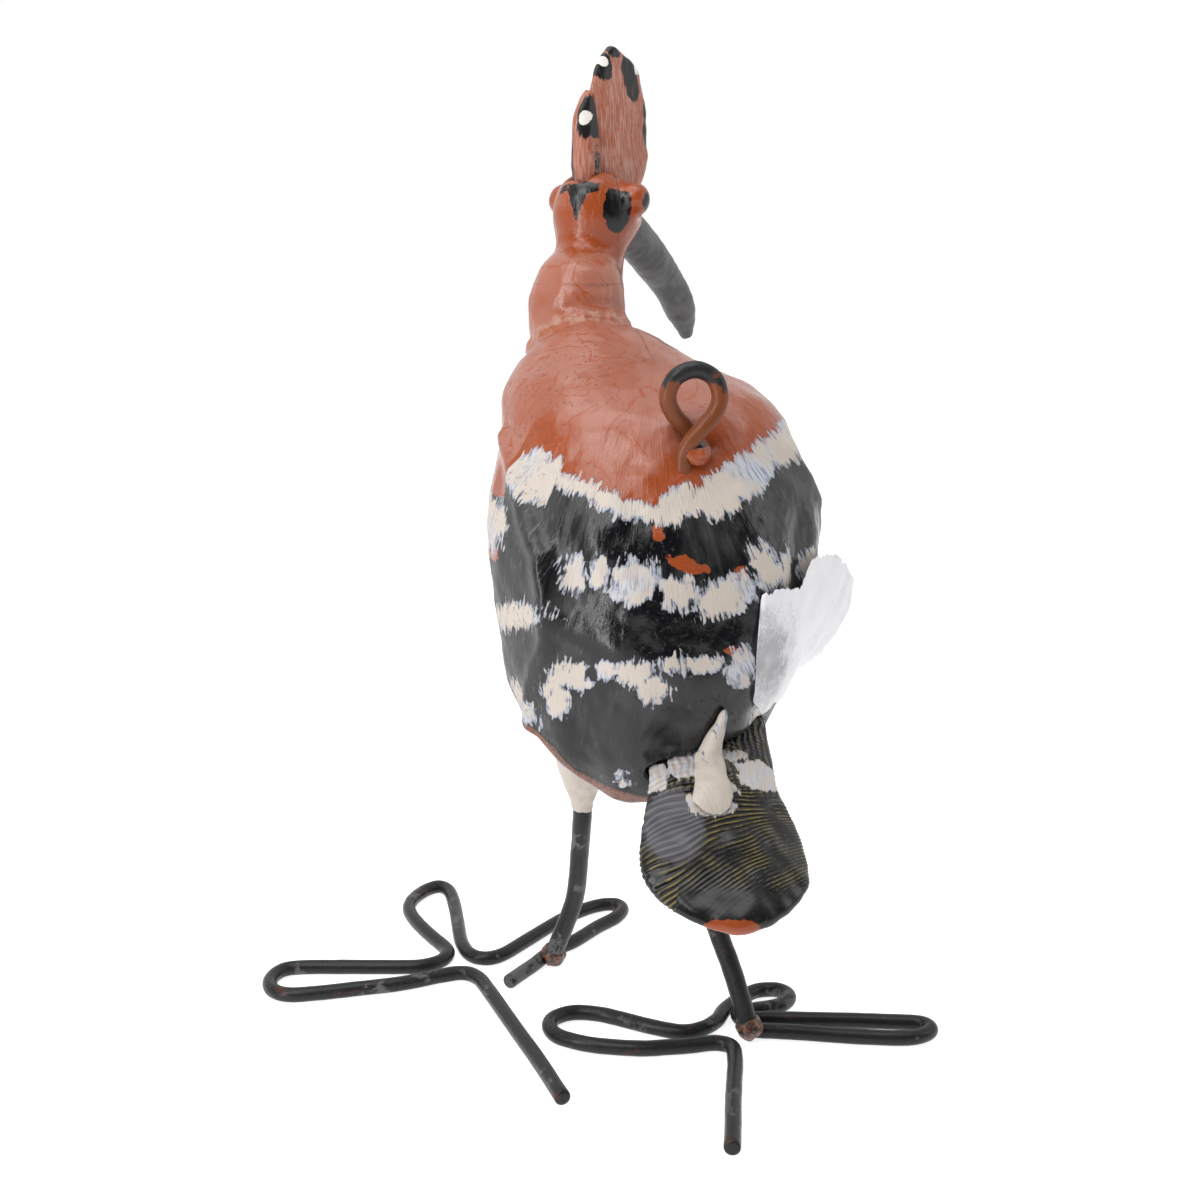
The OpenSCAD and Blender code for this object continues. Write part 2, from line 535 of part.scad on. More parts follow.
// The straight stretch of the foot's wire that the leg is coped to
strands = [[2, 3], [0, 1]];
module foot_strand(side, r) {
    a = peg(side, foot_routes[side][strands[side][0]]);
    b = peg(side, foot_routes[side][strands[side][1]]);
    bar(a - unit(b - a) * 4, b + unit(b - a) * 4, r);
}
// Brazing metal round the butt of a leg on its foot
module braze(side) at_origin() color(braze_brown) difference() {
    translate(ankles[side] + [0, 0, 0.2]) sphere(r = leg_wire_d / 2 + 0.75, $fn = 48);
    foot_strand(side, foot_wire_d / 2 + 0.03);
    bar(ankles[side] - leg_end(side) * 0.02, ankles[side] + leg_end(side) * 9, leg_wire_d / 2 + 0.03);
}
function leg_end(side) = unit(leg_bends[side][2] - ankles[side]);
module left_braze() braze(0);
module right_braze() braze(1);

// ---- Paper scrap ----
// Outline of the torn scrap as heights of its lower and upper edge at each distance from its inner edge
// Distance from the inner edge, lowest and highest point there
scrap_edge = [[0, 77, 87], [1.2, 75, 97], [3, 73, 98], [10, 73.5, 97], [14, 75, 101.5], [21, 79, 101], [25, 83, 98],
    [28, 88, 94]];
scrap_inner_x = -21;
scrap_lift_x = -35;
scrap_slope = 0.9;
function scrap_y(x, z) = x > scrap_lift_x ? wing_back_y(x, z)
    : wing_back_y(scrap_lift_x, z) + scrap_slope * (x - scrap_lift_x);
module paper_scrap() {
    columns = 16;
    rows = 10;
    run = scrap_edge[len(scrap_edge) - 1][0];
    function at_grid(i, j, off) = let (
        d = run * i / columns,
        e = read_at(scrap_edge, d),
        z = e[1] + (e[2] - e[1]) * j / rows + stance_h - 54,
        x = scrap_inner_x - d)
        [x, scrap_y(x, z) + off, z];
    lower = [for (j = [0 : rows]) [for (i = [0 : columns]) at_grid(i, j, 0.35)]];
    upper = [for (j = [0 : rows]) [for (i = [0 : columns]) at_grid(i, j, 0.35 + scrap_t)]];
    at_origin() color([0.95, 0.94, 0.95]) slab(upper, lower);
}

torso();
left_wing();
right_wing();
tail();
tail_spike();
neck();
head();
crest_front();
crest_rear();
upper_bill();
lower_bill();
left_eye();
right_eye();
hanging_eye();
eye_collar();
left_thigh();
right_thigh();
left_leg();
right_leg();
left_foot();
right_foot();
left_braze();
right_braze();
neck_wire();
tail_wire();
paper_scrap();
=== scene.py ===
import math

import bpy
import numpy as np
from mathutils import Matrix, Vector
from mathutils.bvhtree import BVHTree


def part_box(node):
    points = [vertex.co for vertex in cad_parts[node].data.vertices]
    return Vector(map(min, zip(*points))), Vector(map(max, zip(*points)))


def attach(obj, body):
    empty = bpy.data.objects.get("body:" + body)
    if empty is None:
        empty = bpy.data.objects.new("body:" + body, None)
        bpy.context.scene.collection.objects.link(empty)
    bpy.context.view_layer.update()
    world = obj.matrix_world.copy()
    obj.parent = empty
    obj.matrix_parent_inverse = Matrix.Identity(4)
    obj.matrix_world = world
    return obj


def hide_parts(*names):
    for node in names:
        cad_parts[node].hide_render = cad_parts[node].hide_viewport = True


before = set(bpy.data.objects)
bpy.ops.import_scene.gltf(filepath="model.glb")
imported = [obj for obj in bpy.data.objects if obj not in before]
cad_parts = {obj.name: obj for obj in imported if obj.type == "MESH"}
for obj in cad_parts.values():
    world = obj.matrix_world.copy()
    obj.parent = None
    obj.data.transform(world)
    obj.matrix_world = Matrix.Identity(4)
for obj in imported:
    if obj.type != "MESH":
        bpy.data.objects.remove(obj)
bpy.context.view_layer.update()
mm = 0.001  # shapes are worked out in millimetres and stored in metres
farOut = -9.0  # millimetres from a coat of paint that isn't there

# millimetres and degrees; the lamps are in watts
camera = {"place": (72.9, 305.0, 157.4), "yaw": 14.0, "pitch": 12.5, "lens": 48.0, "sensor": 36.0}
studio = {
    "sky": 0.85, "dark": 0.03, "turn": (-0.15, 0.70), "aim": (0, 0, 90), "floorGlow": 0.85, "floorSize": 6,
    # name: place, size, watts
    "lamps": {"topLight": ((40, 60, 560), (420, 300), 1.25),
              "keyLight": ((230, 270, 480), (260, 200), 1.0),
              "sideLight": ((-360, 140, 260), (120, 260), 0.20),
              "stripLight": ((330, 190, 150), (60, 420), 0.85)}}


def makeCamera():
    yaw, pitch = math.radians(camera["yaw"]), math.radians(camera["pitch"])
    look = Vector((-math.sin(yaw) * math.cos(pitch), -math.cos(yaw) * math.cos(pitch), -math.sin(pitch)))
    data = bpy.data.cameras.new("camera")
    data.lens, data.sensor_width = camera["lens"], camera["sensor"]
    data.clip_start, data.clip_end = 0.01, 50
    obj = bpy.data.objects.new("camera", data)
    bpy.context.scene.collection.objects.link(obj)
    obj.location = Vector(camera["place"]) * mm
    obj.rotation_euler = look.to_track_quat("-Z", "Y").to_euler()
    bpy.context.scene.camera = obj
    return look


def makeLamp(name, place, size, watts):
    data = bpy.data.lights.new(name, "AREA")
    data.shape, data.size, data.size_y, data.energy = "RECTANGLE", size[0] * mm, size[1] * mm, watts
    obj = bpy.data.objects.new(name, data)
    bpy.context.scene.collection.objects.link(obj)
    obj.location = Vector(place) * mm
    obj.rotation_euler = (Vector(studio["aim"]) * mm - obj.location).to_track_quat("-Z", "Y").to_euler()


# a socket that can stand in a sum
class Signal:
    def __init__(self, paint, socket):
        self.paint, self.socket = paint, socket

    def join(self, operation, first, second):
        return self.paint.add("ShaderNodeMath", {"operation": operation}, {0: first, 1: second})

    def __add__(self, other):
        return self.join("ADD", self, other)

    def __radd__(self, other):
        return self.join("ADD", other, self)

    def __sub__(self, other):
        return self.join("SUBTRACT", self, other)

    def __rsub__(self, other):
        return self.join("SUBTRACT", other, self)

    def __mul__(self, other):
        return self.join("MULTIPLY", self, other)

    def __rmul__(self, other):
        return self.join("MULTIPLY", other, self)


# the nodes of one material, or of the world
class Paint:
    def __init__(self, name, world=False):
        self.material = (bpy.data.worlds if world else bpy.data.materials).new(name)
        self.material.use_nodes = True
        self.tree = self.material.node_tree
        self.shader = self.tree.nodes["Background" if world else "Principled BSDF"]

    def add(self, kind, settings, inputs, out=0):
        node = self.tree.nodes.new(kind)
        for key, value in settings.items():
            setattr(node, key, value)
        self.fill(node, inputs)
        return Signal(self, node.outputs[out])

    def fill(self, node, inputs):
        for key, value in inputs.items():
            if isinstance(value, Signal):
                self.tree.links.new(value.socket, node.inputs[key])
            elif isinstance(value, tuple) and node.inputs[key].type == "RGBA":
                node.inputs[key].default_value = (*value, 1)
            else:
                node.inputs[key].default_value = value

    def stretch(self, vector, sizes):
        # divides a place by sizes in millimetres, so that a noise of scale 1 has features that big
        return self.add("ShaderNodeVectorMath", {"operation": "MULTIPLY"},
                        {0: vector, 1: tuple(1 / s for s in sizes)})

    def here(self):
        place = self.add("ShaderNodeTexCoord", {}, {}, "Object")
        return self.stretch(place, (mm, mm, mm))

    def field(self, name):
        return self.add("ShaderNodeAttribute", {"attribute_name": name}, {}, "Fac")

    def place(self):
        return self.add("ShaderNodeAttribute", {"attribute_name": "place"}, {}, "Vector")

    def noise(self, vector, sizes, detail=3.0, rough=0.5, twist=0.0):
        if not isinstance(sizes, tuple):
            sizes = (sizes, sizes, sizes)
        return self.add("ShaderNodeTexNoise", {},
                        {"Vector": self.stretch(vector, sizes), "Scale": 1.0, "Detail": detail,
                         "Roughness": rough, "Distortion": twist})

    def step(self, value, low, high):
        return self.add("ShaderNodeMapRange", {"interpolation_type": "SMOOTHSTEP"},
                        {"Value": value, "From Min": low, "From Max": high})

    def fold(self, value):
        return self.add("ShaderNodeMath", {"operation": "ABSOLUTE"}, {0: value})

    def mix(self, mask, first, second):
        return self.add("ShaderNodeMix", {"data_type": "RGBA"}, {0: mask, 6: first, 7: second}, 2)

    # depth is the height of the relief in millimetres; others go to the sockets that they name
    def finish(self, colour, rough, height=None, depth=0.1, others=None):
        values = {"Base Color": colour, "Roughness": rough, **(others or {})}
        if height is not None:
            values["Normal"] = self.add("ShaderNodeBump", {},
                                        {"Height": height, "Strength": 1.0, "Distance": depth * mm})
        self.fill(self.shader, values)
        return self.material


varnish = {"Coat Weight": 0.08, "Coat Roughness": 0.10, "Coat IOR": 1.5, "Specular IOR Level": 0.36}
wireGloss = {"Coat Weight": 0.04, "Coat Roughness": 0.12, "Specular IOR Level": 0.22}
brazeGloss = {"Coat Weight": 0.4, "Coat Roughness": 0.12}
colours = {
    "rustDeep": (0.270, 0.055, 0.015), "rustPinkSheen": (0.330, 0.120, 0.078), "rustLine": (0.300, 0.060, 0.016),
    "black": (0.005, 0.005, 0.006), "blackSheen": (0.030, 0.030, 0.031), "cream": (0.50, 0.44, 0.385),
    "creamBlue": (0.46, 0.485, 0.55), "bill": (0.060, 0.060, 0.063), "billLight": (0.115, 0.115, 0.12),
    "olive": (0.17, 0.135, 0.045), "wire": (0.008, 0.008, 0.009), "wireWorn": (0.12, 0.12, 0.12),
    "wireRust": (0.16, 0.045, 0.016), "braze": (0.20, 0.065, 0.028)}


def rustCoat(p, here):
    # a pink painted sheen over the rust, laid where the field above is high
    pinkSheen = p.step(p.field("above") + (p.noise(here, 13, 4, 0.6, 0.8) - 0.5) * 16, 3.2, 5.6)
    pinkSheen = pinkSheen * (0.55 + 0.45 * p.step(p.noise(here, 10, 3), 0.42, 0.55))
    colour = p.mix(pinkSheen, colours["rustDeep"], colours["rustPinkSheen"])
    swirl = p.noise(here, (12, 12, 15), 3, 0.5, 1.4)
    edge = 1 - p.step(p.fold(swirl - 0.5), 0.0, 0.018)
    side = p.step(swirl, 0.44, 0.5) * (1 - p.step(swirl, 0.5, 0.505))
    colour = p.mix(edge * 0.65 + side * 0.35, colour, colours["rustLine"])
    dry = p.step(p.noise(here, (0.45, 0.45, 2.4), 5, 0.65), 0.58, 0.70)
    dry = dry * p.step(p.noise(here, 9, 2), 0.46, 0.60)
    colour = p.mix(dry * 0.55, colour, (0.13, 0.095, 0.085))
    seam = p.step(p.field("seam") + (p.noise(here, 2.0, 5) - 0.5) * 3.0, 0.60, 1.0)
    colour = p.mix(seam * 0.4, colour, (0.42, 0.27, 0.20))
    return colour, edge


# rust, black and cream paint under varnish, with pink painted sheen on the rust and grey painted sheen and
# highlight streaks on the black; the edges of the coats come from the fields of the mesh
def paintedFiller(name, stroke=(0.42, 3.2)):
    p = Paint(name)
    here, flat = p.here(), p.place()
    streak = p.noise(flat, (stroke[0], stroke[1], 1), 5, 0.62, 0.25)
    broad = p.noise(flat, (2.2, 11, 1), 3, 0.55, 0.5)
    fine, mid, wide = p.noise(here, 0.5, 4, 0.65), p.noise(here, 2.6, 3, 0.6), p.noise(here, 13, 3, 0.5, 0.4)
    hairy = p.step(wide, 0.40, 0.60)
    slant = p.noise(flat, (1.5, 3.6, 1), 2, 0.5, 0.8)
    cream = p.field("cream") + (streak - 0.5) * (1.2 + 3.6 * hairy) + (mid - 0.5) * 2.6 + (fine - 0.5) * 0.5
    cream = cream + (slant - 0.5) * 4.6
    body = p.step(cream, -0.10, 0.16)
    solid = p.step(cream + (mid - 0.5) * 1.8, 0.1, 1.0)
    rust = p.step(p.field("rust") + (mid - 0.5) * 2.4 + (fine - 0.5) * 0.4, -0.06, 0.06)
    crumb = p.field("crumb")
    reds, edge = rustCoat(p, here)
    # grey painted sheen in broad patches on the black, most on the left flank and the folds; the same mask
    # also makes the varnish rougher
    dustAndSheen = p.step(wide * 0.6 + broad * 0.4 + p.field("pitsAndSheen") * 0.35, 0.44, 0.68)
    blacks = p.mix(dustAndSheen, colours["black"], colours["blackSheen"])
    # grey dry-brush hair streaks on the black, gathered where the painted sheen lies, so partly a painted
    # highlight
    hairAndHighlight = p.step(streak, 0.55, 0.72) * p.step(broad + p.field("pitsAndSheen") * 0.45, 0.50, 0.72)
    blacks = p.mix(hairAndHighlight * 0.75, blacks, (0.16, 0.16, 0.165))
    colour = p.mix(rust, blacks, reds)
    crumbs = p.step(fine * 0.8 + mid * 0.2 + crumb * 0.30, 0.60, 0.70) * p.step(crumb, 0.05, 0.5)
    colour = p.mix(crumbs, colour, (0.20, 0.070, 0.040))
    line = p.step(crumb, 0.0, 0.10) * (1 - p.step(crumb + (mid - 0.5) * 0.5, 0.30, 0.50))
    soot = p.step(fine * 0.6 + mid * 0.4, 0.50, 0.58) * p.step(crumb, 0.2, 0.5) * 0.8
    colour = p.mix(line * 0.9, p.mix(soot, colour, (0.020, 0.014, 0.012)), colours["black"])
    violet = p.mix(p.step(streak, 0.42, 0.52), (0.22, 0.235, 0.29), colours["creamBlue"])
    creams = p.mix(p.step(solid * 0.5 + wide * 1.2, 0.86, 1.08), violet, colours["cream"])
    creams = p.mix(p.step(p.noise(flat, (0.6, 3.5, 1), 3), 0.58, 0.72) * 0.35, creams, (0.50, 0.42, 0.46))
    colour = p.mix(body * (0.62 + 0.38 * solid), colour, creams)
    rough = 0.16 + 0.30 * dustAndSheen * (1 - rust) + 0.10 * rust * wide + 0.16 * body
    pits = p.step(p.noise(here, 0.9, 4, 0.7), 0.58, 0.72) * p.field("pitsAndSheen")
    height = body * 0.55 + streak * (0.30 + body * 0.55) + broad * 0.7 + mid * 0.5
    height = height + fine * (0.10 + crumb * 1.8)
    return p.finish(colour, rough, height + edge * rust * 0.15 - pits * 0.8, 0.20, varnish)


def tailCoat():
    p = Paint("tailPaint")
    here, flat = p.here(), p.place()
    ridge, paintedSheen = p.field("ridge"), p.field("paintedSheen")
    patch = p.noise(here, 4.0, 4, 0.6)
    olive = p.step(ridge + (p.noise(here, 0.6, 3) - 0.5) * 0.9, 0.0, 0.8) * p.step(patch, 0.34, 0.54)
    colour = p.mix(olive * (1 - paintedSheen * 0.8), colours["black"], colours["olive"])
    # grey painted sheen on the tail's upper face, stronger on the ridges
    grey = p.step(paintedSheen + (patch - 0.5) * 0.8 + (p.noise(here, 0.8, 3) - 0.5) * 0.6, 0.25, 0.8)
    colour = p.mix(grey * (0.45 + 0.4 * p.step(ridge, -0.4, 0.5)), colour, (0.135, 0.13, 0.145))
    streak = p.noise(flat, (0.42, 3.0, 1), 5, 0.62, 0.25)
    cream = p.field("cream") + (streak - 0.5) * 2.2 + (p.noise(here, 2.0, 4) - 0.5) * 3.4
    rust = p.step(p.field("rust") + (patch - 0.5) * 1.6, -0.08, 0.08)
    colour = p.mix(rust, colour, colours["rustDeep"])
    body = p.step(cream, -0.1, 0.2)
    colour = p.mix(body, colour, p.mix(p.step(streak, 0.4, 0.56), (0.45, 0.47, 0.54), colours["cream"]))
    rough = 0.20 + 0.22 * patch + grey * 0.22
    return p.finish(colour, rough, streak * body * 0.8 + patch * 0.3 + ridge * 0.30, 0.16, varnish)


def wireCoat(name, rusty=0.0):
    p = Paint(name)
    here, along = p.here(), p.place()
    blot = p.noise(here, 2.6, 5, 0.6, 0.3)
    scratch = p.noise(along, (3.2, 0.5, 1), 4, 0.6)
    worn = p.step(blot * 0.75 + scratch * 0.25 + p.field("worn") * 0.20, 0.62, 0.72)
    colour = p.mix(p.noise(here, 0.6, 3), colours["wire"], (0.030, 0.030, 0.032))
    red = p.step(p.noise(here, 3.6, 4, 0.6) + p.field("rust"), 0.60 - 0.22 * rusty, 0.68 - 0.20 * rusty)
    colour = p.mix(red * (0.25 + 0.75 * rusty), colour, colours["wireRust"])
    colour = p.mix(worn * (0.85 - 0.5 * rusty), colour, colours["wireWorn"])
    rough = 0.26 + 0.30 * worn + 0.16 * blot
    return p.finish(colour, rough, blot * 0.8 + scratch * 0.25, 0.10, wireGloss)


def billCoat():
    p = Paint("billPaint")
    here = p.here()
    cloud, grain = p.noise(here, 5.0, 4, 0.6), p.noise(here, 0.5, 3)
    colour = p.mix(p.step(cloud, 0.35, 0.68), colours["bill"], colours["billLight"])
    colour = p.mix(p.step(grain, 0.62, 0.8) * 0.35, colour, (0.05, 0.05, 0.05))
    return p.finish(colour, 0.34 + 0.25 * cloud, cloud * 0.7 + grain * 0.25, 0.10, varnish)


def brazeCoat():
    p = Paint("brazeCoat")
    here = p.here()
    blot = p.noise(here, 1.1, 5, 0.65)
    colour = p.mix(p.step(blot, 0.42, 0.62), colours["wire"], colours["braze"])
    return p.finish(colour, 0.35 + 0.3 * blot, blot, 0.2, brazeGloss)


def paperCoat():
    p = Paint("thinPaper")
    here = p.here()
    mottle, fibre = p.noise(here, 4.5, 4, 0.6), p.noise(here, (0.35, 0.35, 0.6), 3, 0.6)
    colour = p.mix(mottle, (0.70, 0.69, 0.72), (0.86, 0.85, 0.88))
    clear = p.step(p.field("thin") + (mottle - 0.5) * 1.3 + (fibre - 0.5) * 0.7, 0.1, 0.9)
    relief = mottle * 0.6 + fibre * 0.3
    return p.finish(colour, 0.42 + 0.2 * mottle, relief, 0.12, {"Alpha": 0.96 - 0.62 * clear})


def plainSteel():
    p = Paint("drawnSteel")
    draw = p.noise(p.here(), (0.2, 0.2, 4), 3)
    grey = p.mix(draw, (0.30, 0.30, 0.31), (0.45, 0.45, 0.46))
    return p.finish(grey, 0.3 + 0.2 * draw, others={"Metallic": 1.0})


def nodeMesh(name):
    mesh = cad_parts[name].data
    verts = np.empty(len(mesh.vertices) * 3)
    mesh.vertices.foreach_get("co", verts)
    mesh.calc_loop_triangles()
    tris = np.empty(len(mesh.loop_triangles) * 3, int)
    mesh.loop_triangles.foreach_get("vertices", tris)
    return verts.reshape(-1, 3) / mm, tris.reshape(-1, 3)


# which of the named nodes each point is nearest to
def nearest(points, names):
    best, which = np.full(len(points), 1e9), np.zeros(len(points), int)
    for i, name in enumerate(names):
        verts, tris = nodeMesh(name)
        tree = BVHTree.FromPolygons(verts.tolist(), tris.tolist())
        gap = np.array([tree.find_nearest(Vector(p))[3] for p in points])
        which[gap < best] = i
        best = np.minimum(best, gap)
    return which


def normalsOf(verts, faces):
    across = verts[faces[:, 2]] - verts[faces[:, 0]]
    other = verts[faces[:, -1]] - verts[faces[:, 1]]
    flat = np.cross(across, other)
    total = np.zeros_like(verts)
    for corner in faces.T:
        for axis in range(3):
            total[:, axis] += np.bincount(corner, flat[:, axis], len(verts))
    return total / np.maximum(np.linalg.norm(total, axis=1), 1e-12)[:, None]


# evens the surface out; ease is how much each point takes part
def relax(verts, faces, rounds, ease=1.0):
    ends = np.concatenate([faces, np.roll(faces, -1, 1)], 0).reshape(2, -1).T
    edges = np.unique(np.sort(ends, 1), axis=0)
    a, b = np.concatenate([edges, edges[:, ::-1]]).T
    count = np.bincount(a, minlength=len(verts))
    share = np.asarray(ease * np.ones(len(verts)))[:, None] * 0.5
    for _ in range(rounds):
        mean = np.stack([np.bincount(a, verts[b, axis], len(verts)) for axis in range(3)], 1) / count[:, None]
        verts = verts + (mean - verts) * share
    return verts


# one even skin over the named nodes, as filler is laid over them
def moulded(names, grain, rounds):
    verts, tris, start = [], [], 0
    for name in names:
        v, t = nodeMesh(name)
        verts.append(v)
        tris.append(t + start)
        start += len(v)
    mesh = bpy.data.meshes.new("blank")
    mesh.from_pydata(np.concatenate(verts).tolist(), [], np.concatenate(tris).tolist())
    obj = bpy.data.objects.new("blank", mesh)
    bpy.context.scene.collection.objects.link(obj)
    skin = obj.modifiers.new("skin", "REMESH")
    skin.mode, skin.voxel_size, skin.adaptivity = "VOXEL", grain, 0
    done = obj.evaluated_get(bpy.context.evaluated_depsgraph_get()).to_mesh()
    points = np.empty(len(done.vertices) * 3)
    done.vertices.foreach_get("co", points)
    quads = np.empty(len(done.loops), int)
    done.loops.foreach_get("vertex_index", quads)
    assert len(quads) == 4 * len(done.polygons)
    bpy.data.objects.remove(obj)
    points, quads = points.reshape(-1, 3), quads.reshape(-1, 4)
    return relax(points, quads, rounds), quads


# a smooth bumpy field of about -1 to 1, with bumps about that size
def waves(points, size, seed):
    rng, count = np.random.default_rng(seed), 18
    ways = rng.normal(size=(count, 3))
    ways *= (rng.uniform(0.6, 1.3, count) / np.linalg.norm(ways, axis=1))[:, None]
    phase = rng.uniform(0, 6.28, count)
    return np.sin(points @ ways.T * (2 * math.pi / size) + phase).sum(1) / math.sqrt(count)


# moves a surface in and out by lumps, each with its size, its height and a seed
def lumpy(verts, normals, lumps, share=1.0, swell=0.0):
    height = sum((waves(verts, size, seed) * tall for size, tall, seed in lumps), swell)
    return verts + normals * (height * share)[:, None]


def bump(x, middle, width):
    return np.exp(-((x - middle) / width) ** 2)


# a rounded path through the points
def smoothPath(points, steps):
    points = np.asarray(points, float)
    ends = np.vstack([points[0], points, points[-1]])
    t = np.arange(steps)[:, None] / steps
    out = []
    for a, b, c, d in zip(ends, ends[1:], ends[2:], ends[3:]):
        square, cube = 2 * a - 5 * b + 4 * c - d, 3 * b - a - 3 * c + d
        out.append(0.5 * (2 * b + (c - a) * t + square * t * t + cube * t ** 3))
    return np.vstack([*out, points[-1:]])


# a drawn wire with slightly uneven skin and rounded cut ends
def tube(path, radius, sides=22, seed=0):
    along = np.gradient(path, axis=0)
    along /= np.linalg.norm(along, axis=1)[:, None]
    reach = np.concatenate([[0], np.cumsum(np.linalg.norm(np.diff(path, axis=0), axis=1))])
    up = np.array([0.05, 0.08, 1.0]) if abs(along[0][2]) < 0.8 else np.array([0.1, 1.0, 0.0])
    turn = np.linspace(0, 2 * math.pi, sides, endpoint=False)
    rings = []
    for way in along:
        side = np.cross(way, up)
        side /= np.linalg.norm(side)
        up = np.cross(side, way)
        rings.append(np.cos(turn)[:, None] * side + np.sin(turn)[:, None] * up)
    # how far out and how wide each ring of a rounded end is, in radii
    tip = np.array([(0.10, 0.97), (0.22, 0.86), (0.30, 0.62), (0.33, 0.30)])
    out, wide = tip.T[:, :, None] * radius
    centres = np.vstack([path[0] - along[0] * out[::-1], path, path[-1] + along[-1] * out])
    sizes = np.vstack([wide[::-1], np.full((len(path), 1), radius), wide])
    rings = np.array([rings[0]] * len(tip) + rings + [rings[-1]] * len(tip))
    reach = np.pad(reach, len(tip), "edge")
    verts = (centres[:, None] + rings * sizes[:, :, None]).reshape(-1, 3)
    around = np.tile(turn * radius, len(centres))
    verts += (verts - np.repeat(centres, sides, 0)) * (waves(verts, 3.0, seed) * 0.012)[:, None]
    faces = []
    for j in range(len(centres) - 1):
        for i in range(sides):
            k = (i + 1) % sides
            faces.append([j * sides + i, j * sides + k, (j + 1) * sides + k, (j + 1) * sides + i])
    faces.append(list(range(sides))[::-1])
    faces.append([(len(centres) - 1) * sides + i for i in range(sides)])
    place = np.stack([np.repeat(reach, sides), around, np.zeros(len(verts))], 1)
    return verts, faces, place


def makePiece(name, verts, faces, material, nodes, fields=None, normals=None):
    mesh = bpy.data.meshes.new(name)
    faces = faces if isinstance(faces, list) else faces.tolist()
    mesh.from_pydata((np.asarray(verts) * mm).tolist(), [], faces)
    mesh.polygons.foreach_set("use_smooth", np.ones(len(mesh.polygons), bool))
    for key, values in (fields or {}).items():
        wide = np.ndim(values) == 2
        made = mesh.attributes.new(key, "FLOAT_VECTOR" if wide else "FLOAT", "POINT")
        made.data.foreach_set("vector" if wide else "value", np.asarray(values, np.float32).ravel())
    if normals is not None:
        mesh.normals_split_custom_set_from_vertices(normals.tolist())
    mesh.materials.append(material)
    obj = bpy.data.objects.new(name, mesh)
    bpy.context.scene.collection.objects.link(obj)
    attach(obj, "root")
    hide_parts(*nodes)
    return obj


# the part of a skin that has the label own, closed: pressed labels become a recess of that depth,
# and with slab the part becomes a plate of that thickness
def cutOut(skin, labels, own, pressed=(), slab=0.0, depth=1.3):
    verts, faces, normals = skin
    mine = np.isin(labels, own)
    bed = np.isin(labels, pressed) if pressed else np.zeros(len(faces), bool)
    # the label across each edge
    across = {}
    for label, face in zip(labels[~mine], faces[~mine]):
        for k in range(4):
            across[(face[k], face[(k + 1) % 4])] = label
    used = np.unique(faces[mine])
    index = np.full(len(verts), -1)
    index[used] = np.arange(len(used))
    source, shift, side = [used], [np.zeros(len(used))], [np.ones(len(used))]
    out = index[faces[mine]].tolist()
    inner = faces[mine] if slab else faces[bed]
    low = np.full(len(verts), -1)
    if len(inner):
        spots = np.unique(inner)
        low[spots] = np.arange(len(spots)) + len(used)
        source.append(spots)
        shift.append(np.full(len(spots), slab or depth))
        side.append(np.full(len(spots), -1.0 if slab else 1.0))
        out += (low[inner][:, ::-1] if slab else low[inner]).tolist()
    caps = {}
    for face in faces[mine]:
        for k in range(4):
            a, b = face[k], face[(k + 1) % 4]
            other = across.get((b, a))
            if other is None:
                continue
            if low[a] >= 0 and low[b] >= 0:
                out.append([index[b], index[a], low[a], low[b]])
            else:
                caps.setdefault(other, []).append((a, b))
    source, shift, side = np.concatenate(source), np.concatenate(shift), np.concatenate(side)
    points = verts[source] - normals[source] * shift[:, None]
    facing = normals[source] * side[:, None]
    for rim in caps.values():
        middle = verts[[a for a, _ in rim]].mean(0)
        out += [[index[b], index[a], len(points)] for a, b in rim]
        points, facing = np.vstack([points, middle]), np.vstack([facing, [0, 0, 1]])
        source = np.append(source, rim[0][0])
    return points, out, source, facing


# how far inside the nearest of a list of rounded dabs each point is, in millimetres
def oval(place, spots):
    best, square = np.full(len(place), farOut), 2.6
    for x, y, wide, tall, *turn in spots:
        t = math.radians(turn[0]) if turn else 0
        u, v = place[:, 0] - x, place[:, 1] - y
        u, v = u * math.cos(t) + v * math.sin(t), v * math.cos(t) - u * math.sin(t)
        r = (np.abs(u / wide) ** square + np.abs(v / tall) ** square) ** (1 / square)
        best = np.maximum(best, (1 - r) * min(wide, tall))
    return best


